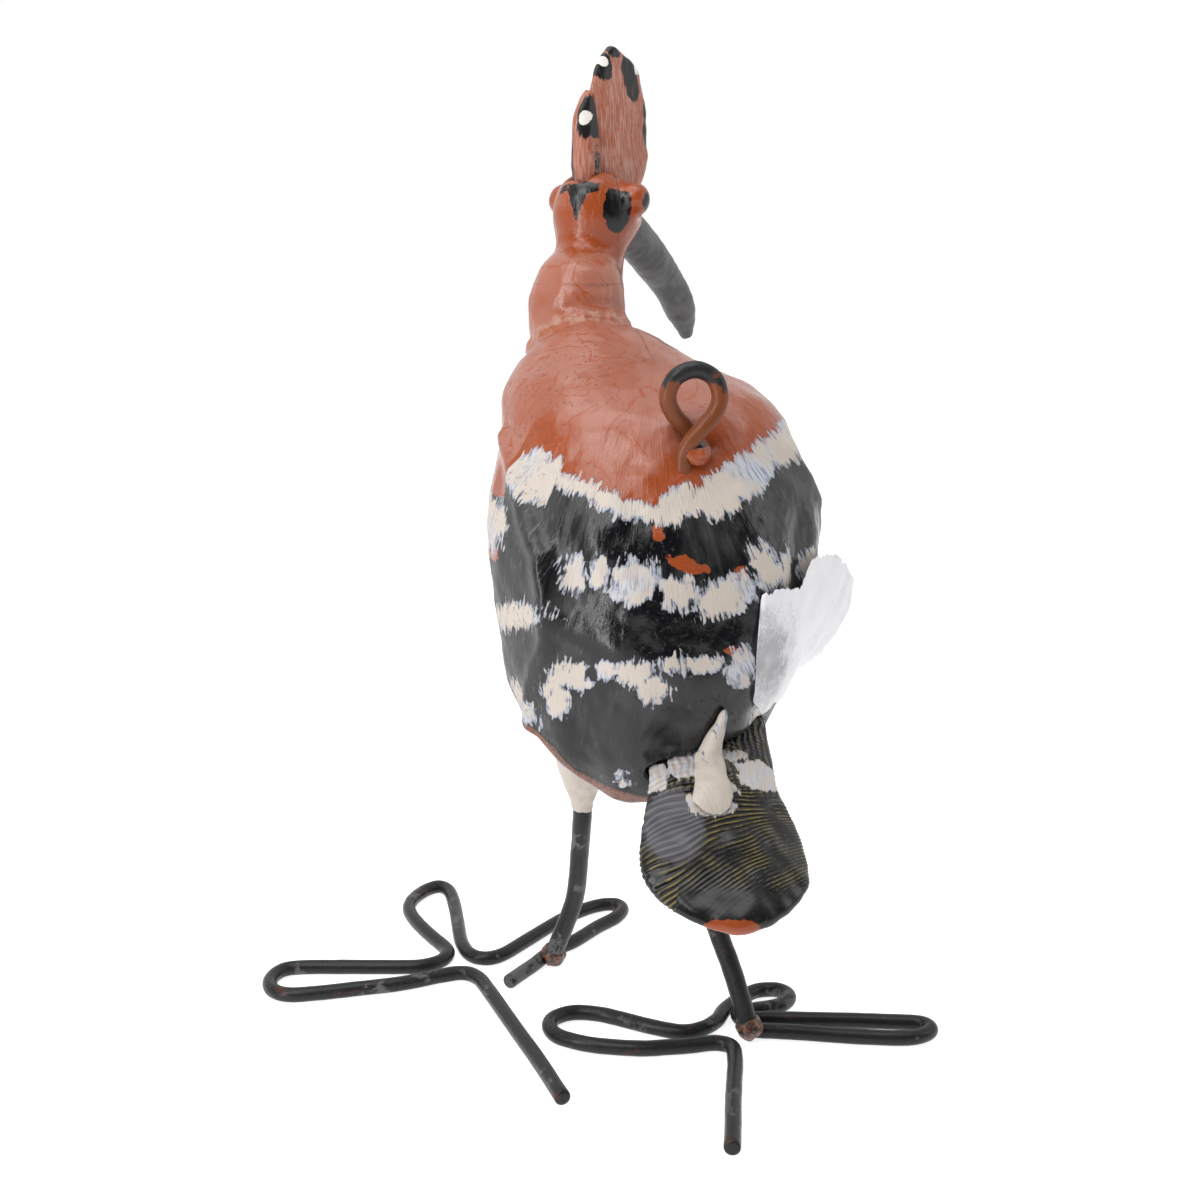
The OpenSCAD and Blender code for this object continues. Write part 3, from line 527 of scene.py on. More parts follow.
# torso, wings, neck, head and eyes lie under one skin
body = {
    "grain": 0.42, "quickGrain": 0.59, "axis": (-10.3, 12.0), "radius": 30.0,
    # heights: upper edge of the wings, of the folds, of the wings' paint, seam at the nape, start of the head
    "wingTop": 122.8, "foldTop": 124, "paintTop": 150, "nape": 157.5, "headFoot": 153,
    "rounds": 18, "lumpHeight": 0.22, "lumps": [(17, 1.0, 3), (6.5, 0.45, 4), (2.6, 0.14, 5)],
    # edges of the first cream band: distance around the body from the middle of the back, height
    "bandTop": [(-62, 120), (-40, 125.5), (-37, 125), (-30, 124), (-25, 123), (-16, 121), (-11, 120),
                (-7, 118), (-3, 116.5), (3, 116), (5, 115), (8, 113), (14, 114), (19, 116), (28, 118),
                (29.5, 120.5), (38, 121.5), (40.5, 120), (42, 112), (62, 110)],
    "bandFoot": [(-62, 113), (-40, 119), (-33, 118), (-22, 117), (-17, 114), (-12, 113), (-8, 111),
                 (-4, 110), (-1, 111), (3, 110), (7, 109), (14, 110), (18, 112), (24, 114), (29, 115),
                 (30, 112), (36, 112), (38.5, 114), (41, 114), (42, 112), (62, 110)],
    # dabs of cream: around, height, half width, half height, turn
    "dabs": [(22, 100.5, 2.5, 3.6), (17, 101.5, 2.1, 2.8, 15), (11, 100.2, 4.2, 4.0), (4, 98.3, 3.3, 2.7),
             (-5, 97.2, 6.2, 3.6, -12), (-13.5, 100.8, 2.8, 5.2, -28), (-19, 99.5, 2.6, 4.6, 10),
             (-28, 99.5, 3.6, 3.0), (-38, 100, 3.5, 3.2), (-49, 98, 3.5, 3.0),
             (37, 90.6, 11.0, 2.7, -16), (50, 86.5, 6.0, 2.4, -16), (50, 107, 9.0, 4.6, 20),
             (42.5, 108, 3.5, 3.2), (22, 82.0, 4.2, 2.9), (15.6, 84.0, 2.0, 2.0), (10.5, 84.2, 3.4, 2.6),
             (8.0, 81.5, 2.6, 3.0), (1, 85.2, 7.0, 1.5, 4), (-7.5, 83.8, 2.9, 3.6), (-15, 83, 3, 3),
             (-25, 85, 4, 2.5), (-37, 86, 4, 3), (37, 74.0, 6.6, 3.2, 24), (26, 77.0, 3.3, 3.4),
             (-15.5, 71.5, 2.6, 4.6), (13.5, 62.8, 2.0, 1.8)],
    # raised folds of the wings: around, height
    "folds": [[(52, 122), (42, 117), (36, 112), (32, 107), (29, 103), (27, 96), (27, 88), (31, 80),
               (36, 70)],
              [(-32, 120), (-37, 113), (-41, 104), (-43, 92)], [(16, 112), (12, 100), (4, 84), (-2, 70)],
              [(26, 92), (14, 88), (5, 83.5), (-9, 83)]],
    "foldHeight": (1.5, 0.9, 0.35, 1.1), "foldWidth": (2.1, 2.4, 2.4, 5.0),
    # ovals where the painted sheen is taken off the black: around, height, half width, half height
    "sheenGaps": [(4, 91, 22, 5.0), (10, 107, 8, 4), (-12, 77, 14, 5)],
    "hem": [(-60, 66), (-32, 60), (0, 57), (10, 58), (14, 59), (20, 60), (25, 62), (28, 66), (32, 68),
            (40, 73), (60, 82)],
    "rustPatches": [(1.5, 102.6, 4.0, 1.3, 25), (-8.2, 99.8, 1.2, 2.6, -30), (-5.6, 87.2, 1.8, 0.7),
                    (47, 101.5, 6, 1.7), (7.0, 108.6, 1.0, 1.4)],
}


def bodyPlace(verts):
    around = np.arctan2(verts[:, 0] - body["axis"][0], verts[:, 1] - body["axis"][1]) * body["radius"]
    return np.stack([around, verts[:, 2], np.zeros(len(verts))], 1)


# distance of each point from a bent line
def awayFrom(place, line):
    points, best = np.array(line, float), np.full(len(place), 1e9)
    for a, b in zip(points, points[1:]):
        t = np.clip(((place[:, :2] - a) @ (b - a)) / ((b - a) @ (b - a)), 0, 1)
        best = np.minimum(best, np.linalg.norm(place[:, :2] - a - t[:, None] * (b - a), axis=1))
    return best


# how far each point is from the seam where the neck sits on the torso, near it
def seamGap(verts, faces, labels):
    step, reach, batch = 0.3, 14, 4000
    rim = verts[np.intersect1d(faces[labels == "neck"], faces[labels == "torso"])]
    rim = np.unique(np.round(rim / step).astype(int), axis=0) * step
    near = np.flatnonzero(np.abs(verts[:, 2] - rim[:, 2].mean()) < reach)
    gap = np.full(len(verts), 9.0)
    for start in range(0, len(near), batch):
        some = near[start:start + batch]
        gap[some] = np.sqrt(((verts[some, None] - rim) ** 2).sum(2).min(1))
    return gap


def makeBody():
    names = ["torso", "left_wing", "right_wing", "neck", "head", "left_eye", "right_eye"]
    verts, faces = moulded(names, body["grain"], body["rounds"])
    high, wingTop = verts[:, 2], body["wingTop"]
    # the steps at the wings' upper edge and at the nape are smoothed away, the eye beads are kept
    calm = bump(high, wingTop, 7.0) + np.clip((high - wingTop) / 4, 0, 1)
    calm *= np.clip((body["headFoot"] - high) / 5, 0, 1)
    verts = relax(verts, faces, 60, np.clip(0.30 + calm, 0, 1))
    high = verts[:, 2]
    calm = bump(high, wingTop - 1, 5.0) * 1.2 + 0.8 * bump(high, body["nape"], 3.0)
    verts = relax(verts, faces, 260, np.clip(calm, 0, 1))
    normals = normalsOf(verts, faces)
    high, place = verts[:, 2], bodyPlace(verts)
    quiet = np.clip((high - 60) / 10, 0.2, 1) * np.where(high > body["paintTop"], 0.5, 1)
    raised = sum(tall * bump(awayFrom(place, fold), 0, wide)
                 for fold, tall, wide in zip(body["folds"], body["foldHeight"], body["foldWidth"]))
    verts = verts + normals * (raised * (high < body["foldTop"]))[:, None]
    verts = lumpy(verts, normals, body["lumps"], quiet * body["lumpHeight"])
    normals = normalsOf(verts, faces)
    middles = verts[faces].mean(1)
    labels = np.empty(len(faces), object)
    lower = middles[:, 2] < wingTop + 3
    for chosen, group in ((lower, names[:3]), (~lower, names[:1] + names[3:])):
        labels[chosen] = np.array(group, object)[nearest(middles[chosen], group)]
    gap = seamGap(verts, faces, labels)
    welt = bump(gap, 0, 0.9) * 0.32 * (1 + waves(verts, 3, 6)) - bump(gap, 2.4, 1.2) * 0.25
    verts = verts + normals * welt[:, None]
    skin = verts, faces, normalsOf(verts, faces)
    fields = {**bodyFields(verts, bodyPlace(verts)), "seam": bump(gap, 0, 1.3)}
    bodyPaint, headPaint = paintedFiller("bodyPaint"), paintedFiller("headPaint", (0.5, 2.4))
    # piece, its node, slot, what presses a recess in it, thickness if it is a plate, paint
    plan = [("torsoBody", "torso", "mantle_paint", ["left_wing", "right_wing"], 0, bodyPaint),
            ("leftWing", "left_wing", "wing_paint", [], 1.2, bodyPaint),
            ("rightWing", "right_wing", "wing_paint", [], 1.2, bodyPaint),
            ("neckFiller", "neck", "mantle_paint", [], 0, headPaint),
            ("headFiller", "head", "mantle_paint", ["left_eye", "right_eye"], 0, headPaint),
            ("leftEyeBead", "left_eye", "eye_paint", [], 1.2, headPaint),
            ("rightEyeBead", "right_eye", "eye_paint", [], 1.2, headPaint)]
    for title, node, slot, pressed, slab, paint in plan:
        points, out, source, facing = cutOut(skin, labels, [node], pressed, slab)
        here = {key: values[source] for key, values in fields.items()}
        makePiece(title, points, out, paint, [node], here, facing)
        print("moulded", title, len(out), "faces")


# the middle of the head, the way it faces and the way across it
def headFrame():
    left = sum(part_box("left_eye"), Vector()) / 2 / mm
    right = sum(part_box("right_eye"), Vector()) / 2 / mm
    middle, across = np.array((left + right) / 2), np.array((left - right).normalized())
    return middle, np.cross(across, (0, 0, 1)), across


# where each coat of paint and the painted sheen lie: how far inside its edge a point is, in millimetres, or a
# share
def bodyFields(verts, place):
    around, height = place[:, 0], place[:, 1]
    top, foot, hem = (np.interp(around, *np.array(body[key]).T) for key in ("bandTop", "bandFoot", "hem"))
    front = np.abs(around) - 60 - 1.5 * np.sin(height * 0.5)
    cream = np.maximum(np.minimum(top - height, height - foot), oval(place, body["dabs"]))
    cream = np.where(front > 0, farOut, cream)
    cream = np.maximum(cream, np.minimum(66 - height, front))
    rust = np.maximum(np.maximum(height - (top + foot) / 2, front), oval(place, body["rustPatches"]))
    crumb = np.clip((hem + 1.2 - height) / 1.6, 0, 1) * (front < 2)
    # where the black carries painted sheen: the left flank and along a fold, less in a few ovals; the pits of
    # the left flank follow it too
    pitsAndSheen = np.clip((around - 26) / 8, 0, 1) + bump(awayFrom(place, body["folds"][1]), 0, 4)
    pitsAndSheen = np.clip(pitsAndSheen * (front < 0), 0, 1) - 1.2 * np.clip(oval(place, body["sheenGaps"]) / 3, 0, 1)
    upper = height > body["paintTop"]
    # black marks of the head: smear behind the eye, rim of the eye, notch at the nape, root of the crest
    middle, ahead, across = headFrame()
    local = np.stack([(verts - middle) @ ahead, (verts - middle) @ across, verts[:, 2] - middle[2]], 1)
    long, wide, high = local.T
    smear = 3.0 - np.linalg.norm((local - (-4.4, -7.6, -2.2)) / (1.0, 0.9, 1.5), axis=1)
    rim = 1.6 - np.linalg.norm((local - (0.6, -12.4, -0.6)) / (1.2, 1.2, 1.5), axis=1)
    notch = np.minimum((high + 3.9) * 0.42 - np.abs(wide + 1.6), 3.2 - high)
    notch = np.minimum(notch, -5.5 - long)
    root = 0.7 - np.abs(high - 3.6 + 0.25 * np.abs(long + 2)) - np.maximum(np.abs(long + 4) - 5, 0)
    root = np.minimum(root, 4.0 - np.abs(wide + 1))
    dark = np.maximum.reduce([smear, rim, notch, root])
    # the brush strokes lean along the wings
    lean = np.interp(around, [-40, -10, 20], [0.55, 0.30, -0.18])
    stroke = place - np.stack([np.where(upper, 0, lean * (height - 105)), 0 * height, 0 * height], 1)
    # above rises up the mantle and round the breast; it places the pink painted sheen
    above = np.clip(np.maximum(height - top, front * 3), 0, 12)
    above = above - 9 * np.clip((height - body["paintTop"]) / 9, 0, 1)
    return {"place": stroke, "cream": np.where(upper, farOut, cream), "rust": np.where(upper, -dark, rust),
            "above": above, "crumb": np.where(upper, 0, crumb), "pitsAndSheen": np.where(upper, 0, pitsAndSheen)}


crest = {"grain": 0.26, "rounds": 26, "spread": 0.5, "lean": -10, "lumps": [(8, 0.14, 11), (2.4, 0.05, 12)],
         # fore and aft or side to side, height, half width, half height, turn
         "frontBlack": [(6.4, 24.0, 2.2, 4.4, 12), (-0.6, 26.6, 1.9, 3.4, 14), (11.4, 15.5, 1.5, 4.6),
                        (2.6, 29.0, 1.6, 1.2)],
         "frontSpots": [(-0.2, 26.9, 0.8, 1.0), (8.4, 25.9, 0.7, 1.0)],
         "rearBlack": [(-1.3, 16.0, 1.7, 4.2), (2.3, 8.0, 1.0, 9.0), (-3.0, 8.0, 0.7, 9.0),
                       (-0.5, -0.5, 2.4, 2.2)],
         "rearSpots": [(-0.7, 15.7, 0.75, 1.35)]}


# from the middle of the head: fore and aft for the front leaf, side to side for the rear one, and height
def crestPlace(verts, rear):
    middle, ahead, across = headFrame()
    tilt = math.radians(crest["lean"])
    x, y = (verts - middle) @ ahead, (verts - middle) @ across
    x = y if rear else x * math.cos(tilt) - y * math.sin(tilt)
    return np.stack([x, verts[:, 2] - middle[2], np.zeros(len(x))], 1)


def makeCrest():
    coat = crestCoat()
    for title, node, black, white in (
            ("frontCrest", "crest_front", crest["frontBlack"], crest["frontSpots"]),
            ("rearCrest", "crest_rear", crest["rearBlack"], crest["rearSpots"])):
        verts, faces = moulded([node], crest["grain"], crest["rounds"])
        verts = lumpy(verts, normalsOf(verts, faces), crest["lumps"])
        place = crestPlace(verts, node == "crest_rear")
        if node == "crest_front":
            ahead = headFrame()[1]
            foot = np.clip(11 - place[:, 1], 0, 6) * np.clip((place[:, 0] - 1) / 5, 0, 1)
            verts = verts + (foot * crest["spread"])[:, None] * ahead
        # above sets patches of pink painted sheen over the crest's rust
        fields = {"place": place, "rust": -oval(place, black), "spot": oval(place, white),
                  "above": 8 - 4 * np.abs(waves(verts, 9, 13)), "seam": np.zeros(len(verts))}
        makePiece(title, verts, faces, coat, [node], fields)
        print("moulded", title, len(faces), "faces")


def crestCoat():
    p = Paint("crestPaint")
    here, flat = p.here(), p.place()
    streak = p.noise(flat, (0.4, 3.4, 1), 5, 0.62, 0.2)
    rust = p.step(p.field("rust") + (streak - 0.5) * 1.5, -0.10, 0.12)
    reds, edge = rustCoat(p, here)
    reds = p.mix(p.step(streak, 0.50, 0.70) * 0.6, reds, (0.20, 0.060, 0.038))
    # pink streaks of painted sheen down the rust
    reds = p.mix(p.step(p.noise(flat, (0.35, 4.5, 1), 3), 0.46, 0.62) * 0.6, reds, (0.44, 0.25, 0.20))
    # grey streaks of painted sheen on the black tips
    blacks = p.mix(p.step(streak, 0.50, 0.70) * 0.75, colours["black"], colours["blackSheen"])
    blacks = p.mix(p.step(streak, 0.60, 0.72) * 0.5, blacks, colours["rustDeep"])
    colour = p.mix(rust, blacks, reds)
    white = p.step(p.field("spot") + (p.noise(here, 0.6, 3) - 0.5) * 0.3, -0.04, 0.04)
    colour = p.mix(white, colour, (0.70, 0.67, 0.62))
    return p.finish(colour, 0.28 + 0.25 * streak, streak * 0.6 + white * 0.4, 0.10, varnish)


bill = {"grain": 0.28, "rounds": 10, "shell": 0.8, "swell": 0.06, "lumps": [(7, 0.08, 21), (2.2, 0.03, 22)]}


def makeBill():
    coat = billCoat()
    names = ["upper_bill", "lower_bill"]
    verts, faces = moulded(names, bill["grain"], bill["rounds"])
    verts = lumpy(verts, normalsOf(verts, faces), bill["lumps"], swell=bill["swell"])
    normals = normalsOf(verts, faces)
    labels = np.array(names, object)[nearest(verts[faces].mean(1), names)]
    for title, node in (("upperBill", "upper_bill"), ("lowerBill", "lower_bill")):
        points, out, source, facing = cutOut((verts, faces, normals), labels, [node], slab=bill["shell"])
        makePiece(title, points, out, coat, [node], None, facing)
        print("moulded", title, len(out), "faces")


tail = {"grain": 0.23, "rounds": 90, "lumps": [(12, 0.22, 31), (4, 0.07, 32)],
        "root": (-14.1, 40.0, 63.5), "swing": 9.0, "droop": 34.0,
        "pitch": 0.98, "crossPitch": 1.3, "ridge": 0.105,
        # distance from the root, distance across, half sizes
        "dabs": [(9.8, 2.2, 2.6, 4.6), (3.0, 11.2, 3.4, 2.8), (1.2, 5.4, 2.8, 3.6), (7.0, 0.6, 2.4, 3.6),
                 (2.4, -8.2, 3.2, 5.0), (-1.0, -3.4, 1.2, 2.8), (0.0, 14.6, 1.6, 2.0)],
        "tip": [(34.5, 1.5, 2.2, 6.5)]}


def makeTail():
    swing, droop = math.radians(tail["swing"]), math.radians(tail["droop"])
    out = np.array([math.sin(swing) * math.cos(droop), math.cos(swing) * math.cos(droop), -math.sin(droop)])
    up = np.array([0, math.sin(droop), math.cos(droop)])
    verts, faces = moulded(["tail"], tail["grain"], tail["rounds"])
    local = verts - np.array(tail["root"])
    run, wide, high = local @ out, local @ np.cross(out, up), local @ up
    normals = normalsOf(verts, faces)
    verts = lumpy(verts, normals, tail["lumps"])
    smooth = bump(run, 31, 6.5) * (wide < 4 + 0.2 * run)
    fan = run * np.exp(-0.027 * wide) + 0.45 * waves(verts, 9, 33)
    ridge = np.sin(fan * 2 * math.pi / tail["pitch"]) * (0.55 + 0.45 * waves(verts, 5.5, 34))
    cross = np.sin(wide * 2 * math.pi / tail["crossPitch"] + 1.2 * waves(verts, 3, 36))
    dotted = np.clip((9 - run) / 6, 0, 1)
    ridge = ridge * (1 - 0.6 * dotted) + cross * 0.5 * dotted
    calm = np.clip(1.15 - 1.6 * smooth, 0.02, 1)
    verts = verts + normals * (ridge * calm * tail["ridge"])[:, None]
    flat = np.stack([run, wide, np.zeros(len(run))], 1)
    # where the grey painted sheen lies on the tail's upper face
    paintedSheen = np.clip(2.2 * bump(run, 14, 8) * bump(wide, 9, 5.5) - 0.35, 0, 1)
    fields = {"place": np.stack([wide, run, 0 * run], 1), "cream": oval(flat, tail["dabs"]), "paintedSheen": paintedSheen,
              "ridge": ridge * calm, "rust": oval(flat, tail["tip"])}
    makePiece("tailPaddle", verts, faces, tailCoat(), ["tail"], fields)
    print("moulded tailPaddle", len(faces), "faces")


small = {
    "collarShrink": (0.74, 0.92, 0.70), "spikeFoot": 5.5, "spikeThinnest": 0.12,
    # piece: node, grain, height of its lumps
    "cream": {"tailSpike": ("tail_spike", 0.20, 0.10), "leftThigh": ("left_thigh", 0.30, 0.12),
              "rightThigh": ("right_thigh", 0.30, 0.12)},
    # grain, rounds of smoothing, lumps
    "collar": (0.20, 16, [(3.4, 0.16, 43), (1.3, 0.03, 44)]), "braze": (0.16, 10, [(2.0, 0.16, 46)])}


# thins the foot of the spike down on to the tail
def feathered(verts):
    bed, tris = nodeMesh("tail")
    tree = BVHTree.FromPolygons(bed.tolist(), tris.tolist())
    under = np.array([tree.find_nearest(Vector(v))[0] for v in verts])
    low = verts[:, 1] - 0.6 * verts[:, 2]
    share = np.clip((low.max() - low) / small["spikeFoot"], 0, 1) ** 0.7
    return under + (verts - under) * np.maximum(share, small["spikeThinnest"])[:, None]


# the fields of the filler paint, nought where they aren't given
def plainFields(place, **given):
    nought = np.zeros(len(place))
    return {"place": place, **{key: nought + given.get(key, 0)
                               for key in ("cream", "rust", "crumb", "above", "pitsAndSheen", "seam")}}


def makeSmall():
    cream = paintedFiller("creamPaint")
    for title, (node, grain, lump) in small["cream"].items():
        verts, faces = moulded([node], grain, 22)
        verts = lumpy(verts, normalsOf(verts, faces), [(3.5, lump, 41)])
        thin = 0
        if title == "tailSpike":
            verts = feathered(verts)
            thin = 2.4 * (verts[:, 2] - verts[:, 2].min()) / np.ptp(verts[:, 2])
        place = np.stack([verts[:, 0] + verts[:, 1] * 0.4, verts[:, 2], 0 * verts[:, 0]], 1)
        fields = plainFields(place, cream=3.0 - thin, rust=-3)
        makePiece(title, verts, faces, cream, [node], fields)
    grain, rounds, lumps = small["collar"]
    verts, faces = moulded(["eye_collar"], grain, rounds)
    verts = lumpy(verts, normalsOf(verts, faces), lumps)
    place, middle = bodyPlace(verts), (verts.max(0) + verts.min(0)) / 2
    verts = middle + (verts - middle) * small["collarShrink"]
    fields = plainFields(place, cream=farOut, rust=waves(verts, 4.5, 45) * 1.2 + 0.5)
    makePiece("eyeCollar", verts, faces, paintedFiller("collarPaint"), ["eye_collar"], fields)
    braze = brazeCoat()
    grain, rounds, lumps = small["braze"]
    for side in ("left", "right"):
        verts, faces = moulded([side + "_braze"], grain, rounds)
        verts = lumpy(verts, normalsOf(verts, faces), lumps)
        makePiece(side + "Braze", verts, faces, braze, [side + "_braze"])
    steel = plainSteel()
    for node in ("neck_wire", "tail_wire"):
        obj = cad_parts[node]
        obj.data.materials.clear()
        obj.data.materials.append(steel)
    print("moulded the spike, the thighs, the collar and the brazing")


wires = {
    # radii; the height of the ankles, where the loop's ring starts and how wide it is
    "foot": 3.15 / 2, "leg": 2.0, "eye": 3.15 / 2, "ankle": 2.6, "ringFoot": 123.5, "ring": 4.675,
    # the toes, round the foot from the ankle
    "leftFoot": [(11.5, 8.5), (8, 5), (4.3, 1.3), (-0.8, -4.3), (-6.7, -8), (-14, -14.5), (-19.2, -18.5),
                 (-22, -22.7), (-21.4, -25.8), (-18, -26.6), (-13, -24.8), (-6, -20), (4.2, -10.7),
                 (10.6, -5), (14.8, -4.1), (17.6, -7), (18.4, -14), (17.6, -24), (16.7, -35),
                 (16.6, -43.6), (18.6, -47.4), (22.4, -45.6), (26.2, -40.4), (27.7, -34.6), (26.8, -27),
                 (24.6, -18.5), (22.6, -12), (22.4, -8.4), (24.4, -5.2), (28.4, -3.5), (33.4, -4.2),
                 (43.7, -6.8), (54.2, -9.3), (59, -8.9), (61.8, -4.6), (61.5, 0.4), (58.3, 3.4),
                 (52.6, 4.1), (44.8, 4.1), (34.3, 3.9), (26, 2.3), (20.6, 2.1), (17.8, 5.4), (16.5, 13),
                 (14.6, 28.2), (12.6, 43.3), (11, 58.5)],
    "rightFoot": [(-0.2, -1.5), (-3.7, 0), (-9.4, 2), (-19, 6), (-29, 9.4), (-33.5, 9.4), (-36.4, 7.4),
                  (-35.4, 4.5), (-29.3, 2.3), (-21.7, -0.2), (-11.4, -3.2), (-5, -5), (-0.8, -6.1),
                  (-0.6, -8.4), (-4, -9.2), (-8.9, -9.6), (-12, -11), (-13.6, -13.8), (-12.2, -16.8),
                  (-7.6, -17.4), (-2.6, -14.4), (1.8, -10.6), (4.8, -6.6), (8.9, -4), (13.2, -3.7),
                  (18.3, -7.2), (22.7, -11.2), (27.3, -15.1), (32.4, -17.2), (36.6, -16), (38.6, -13),
                  (38.2, -8.7), (35.2, -5.2), (30.6, -2.1), (23.2, 0.8), (18.1, 1.6), (12.8, 2.1),
                  (7.9, 2.3), (5.3, 4.7), (6.4, 10.1), (8.9, 17), (11.6, 24.4), (14.2, 32), (16.8, 39.2)],
    # legs, from the top of the thigh to the ankle
    "leftLeg": [(0.6, 0.3, 55.0), (0.1, -2.0, 43.0), (-0.5, -7.0, 32.2), (-0.9, -12.4, 20.6),
                (0.0, -15.4, 13.6)],
    "rightLeg": [(-14.8, 9.8, 54.0), (-16.7, 11.4, 44.0), (-20.3, 14.8, 31.5), (-23.7, 17.9, 20.6),
                 (-25.9, 20.6, 13.2)],
}


def makeWires():
    coat, loopCoat = wireCoat("wireCoat"), wireCoat("loopCoat", 1.0)
    for side in ("left", "right"):
        ankle = np.array(sum(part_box(side + "_braze"), Vector()) / 2 / mm)
        ankle[:2] = np.round(ankle[:2], 1)
        route = [(ankle[0] + x, ankle[1] + y, wires["foot"]) for x, y in wires[side + "Foot"]]
        verts, faces, place = tube(smoothPath(route, 5), wires["foot"], seed=51)
        verts[:, 2] = np.maximum(verts[:, 2], 0.0)
        fields = {"place": place, "worn": waves(verts, 14, 52) * 0.8, "rust": np.zeros(len(verts))}
        makePiece(side + "Foot", verts, faces, coat, [side + "_foot"], fields)
        route = wires[side + "Leg"] + [(ankle[0], ankle[1], wires["ankle"])]
        verts, faces, place = tube(smoothPath(route, 12), wires["leg"], 26, seed=53)
        fields = {"place": place, "worn": waves(verts, 12, 54) * 0.8, "rust": np.zeros(len(verts))}
        makePiece(side + "Leg", verts, faces, coat, [side + "_leg"], fields)
    low, high = (np.array(corner / mm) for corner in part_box("hanging_eye"))
    foot = np.array([(low[0] + high[0]) / 2, (low[1] + high[1]) / 2, wires["ringFoot"]])
    r, top = wires["ring"], high[2] - foot[2] - wires["eye"]
    # one shank and half the ring, and the same turned half round
    half = [(-2.2, -0.9, -9), (-2.2, -0.9, -3), (-1.32, -1.5, -0.6), (0.8, -1.75, 2), (r * 0.72, -1.2, 4.6),
            (r, -0.6, top - r - 0.2), (r * 0.74, -0.2, top - r * 0.32)]
    route = half + [(0, 0, top)] + [(-x, -y, z) for x, y, z in half[::-1]]
    verts, faces, place = tube(smoothPath(np.array(route) + foot, 8), wires["eye"], 24, seed=55)
    rust = 0.16 - 0.45 * bump(verts[:, 2], high[2], 5.0)
    fields = {"place": place, "worn": bump(verts[:, 2], high[2], 2.0) * 0.3, "rust": rust}
    makePiece("hangingEye", verts, faces, loopCoat, ["hanging_eye"], fields)
    print("bent the wires")


scrap = {"columns": 90, "rows": 80, "inner": -21.1, "thick": 0.12,
         "lift": 0.25, "frayed": 0.25, "crumple": 0.6,
         # distance from the inner edge, lowest and highest point there
         "edges": [(0, 77, 87), (1.2, 75, 97), (3, 73, 98), (10, 73.5, 97), (14, 75, 101.5),
                   (21, 79, 101), (25, 83, 98), (28, 88, 94)]}


# how far back the finished skin reaches behind each point of a grid
def backOf(titles, grid):
    reach = np.full(len(grid), -99.0)
    for title in titles:
        mesh = bpy.data.objects[title].data
        points, faces = [v.co / mm for v in mesh.vertices], [tuple(f.vertices) for f in mesh.polygons]
        tree = BVHTree.FromPolygons(points, faces)
        for i, (x, _, z) in enumerate(grid):
            hit = tree.ray_cast(Vector((x, 90, z)), Vector((0, -1, 0)))[0]
            if hit:
                reach[i] = max(reach[i], hit.y)
    return reach


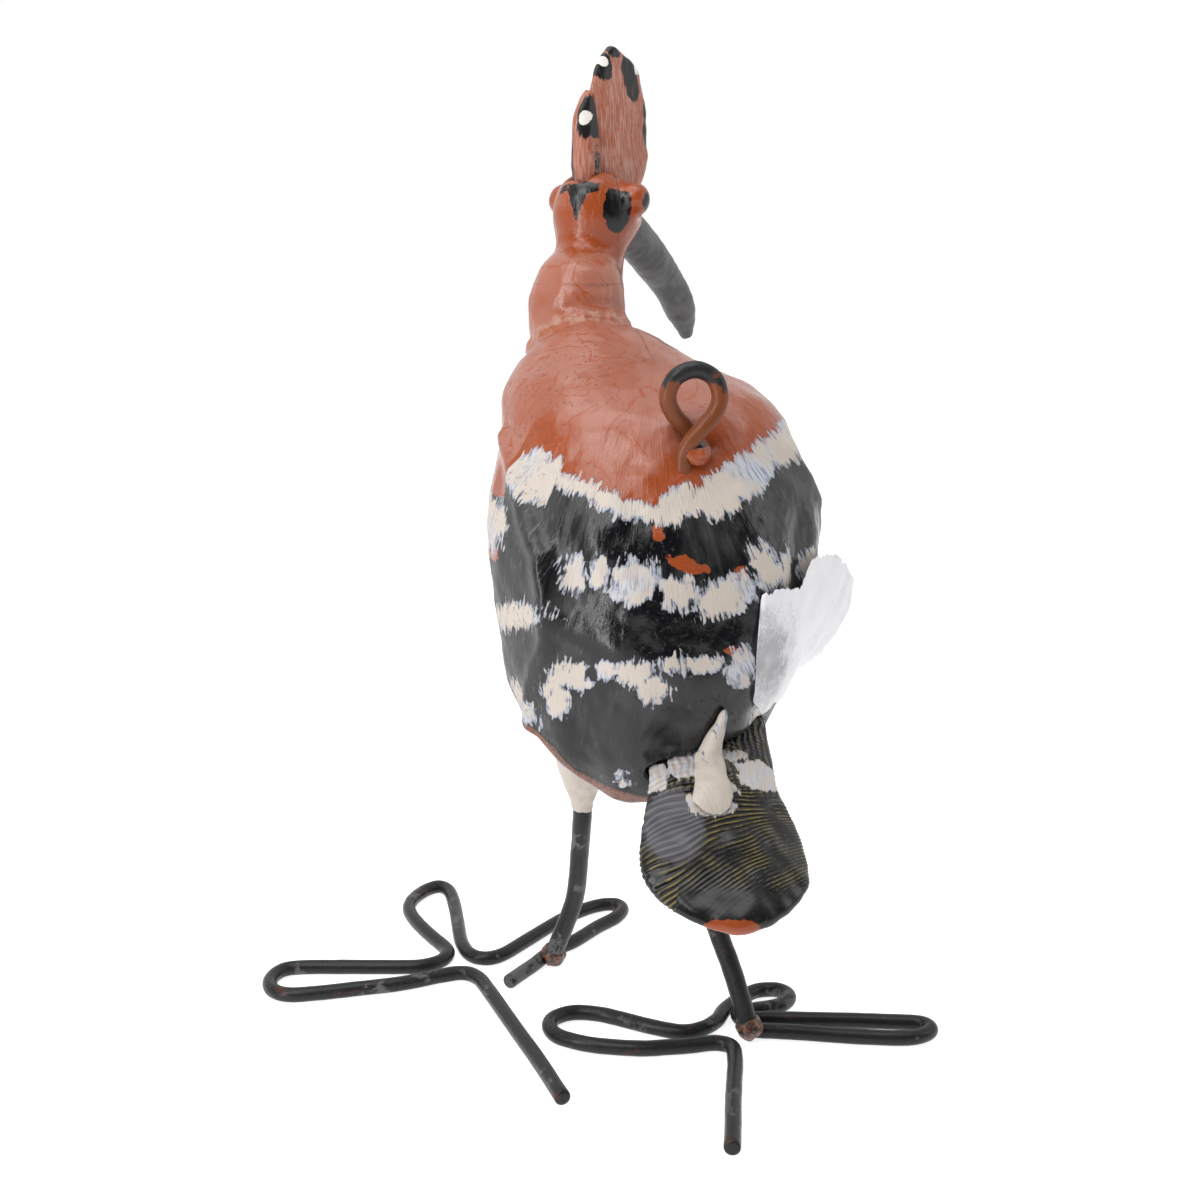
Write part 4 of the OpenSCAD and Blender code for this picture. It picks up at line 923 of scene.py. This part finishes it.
def makeScrap():
    edges = np.array(scrap["edges"], float)
    rows, columns = scrap["rows"], scrap["columns"]
    verts, tris = nodeMesh("paper_scrap")
    tree = BVHTree.FromPolygons(verts.tolist(), tris.tolist())
    reach = np.linspace(0.15, edges[-1, 0] - 0.15, columns)
    rng = np.random.default_rng(7)
    torn = [np.abs(np.convolve(rng.normal(size=columns), np.ones(4) / 4, "same")) + scrap["frayed"]
            for _ in range(2)]
    low = np.interp(reach, edges[:, 0], edges[:, 1]) + torn[0]
    high = np.interp(reach, edges[:, 0], edges[:, 2]) - torn[1]
    grid = []
    for d, a, b in zip(reach, low, high):
        x = scrap["inner"] - d
        for z in np.linspace(a, b, rows):
            hit = tree.ray_cast(Vector((x, 200, z)), Vector((0, -1, 0)))[0]
            hit = hit or tree.find_nearest(Vector((x, 30, z)))[0]
            grid.append((x, hit.y, z))
    grid = np.array(grid)
    grid[:, 1] = np.maximum(grid[:, 1], backOf(["torsoBody", "rightWing"], grid) + scrap["lift"])
    creases = np.abs(waves(grid, 9, 61)) * 0.5 + waves(grid, 4, 62) * 0.12 + np.abs(waves(grid, 3, 63)) * 0.12
    grid[:, 1] += creases * scrap["crumple"]
    count = len(grid)
    index = np.arange(count).reshape(columns, rows)
    front = np.stack([index[:-1, :-1], index[:-1, 1:], index[1:, 1:], index[1:, :-1]], 2).reshape(-1, 4)
    ring = np.concatenate([index[0, :-1], index[:-1, -1], index[-1, :0:-1], index[:0:-1, 0]])
    after = np.roll(ring, -1)
    rim = np.stack([after + count, ring + count, ring, after], 1)
    faces = np.vstack([front[:, ::-1], front + count, rim])
    both = np.vstack([grid, grid - (0, scrap["thick"], 0)])
    thin = bump(both[:, 0], scrap["inner"] - 2, 6.5) * bump(both[:, 2], 84, 9)
    obj = makePiece("paperScrap", both, faces, paperCoat(), ["paper_scrap"], {"thin": thin})


# an even sky that is darker behind the camera, white where the camera sees it
def makeStudio(look):
    sky = Paint("studio", world=True)
    bpy.context.scene.world = sky.material
    where = sky.add("ShaderNodeTexCoord", {}, {}, "Generated")
    facing = sky.add("ShaderNodeVectorMath", {"operation": "DOT_PRODUCT"}, {0: where, 1: -look}, "Value")
    low, high = studio["turn"]
    shade = sky.add("ShaderNodeMapRange", {"interpolation_type": "SMOOTHSTEP"},
                    {"Value": facing, "From Min": low, "From Max": high,
                     "To Min": studio["sky"], "To Max": studio["dark"]})
    seen = sky.add("ShaderNodeLightPath", {}, {}, "Is Camera Ray")
    strength = sky.add("ShaderNodeMix", {}, {0: seen, 2: shade, 3: 1.0})
    sky.fill(sky.shader, {"Color": (1.0, 1.0, 1.0), "Strength": strength})
    for name, (place, size, watts) in studio["lamps"].items():
        makeLamp(name, place, size, watts)
    bpy.ops.mesh.primitive_plane_add(size=studio["floorSize"])
    floor = bpy.context.object
    floor.name = "floor"
    p = Paint("floorPaint")
    paper = p.mix(p.noise(p.here(), 30, 2), (0.50, 0.50, 0.50), (0.53, 0.53, 0.53))
    glow = {"Emission Color": (1.0, 1.0, 1.0), "Emission Strength": studio["floorGlow"]}
    floor.data.materials.append(p.finish(paper, 0.6, others=glow))
    view = bpy.context.scene.view_settings
    view.view_transform, view.look, view.exposure, view.gamma = "Standard", "None", 0.0, 1.0
    print("set the camera, the lamps and the floor")


look = makeCamera()
makeStudio(look)
makeBody()
makeCrest()
makeBill()
makeTail()
makeSmall()
makeWires()
makeScrap()
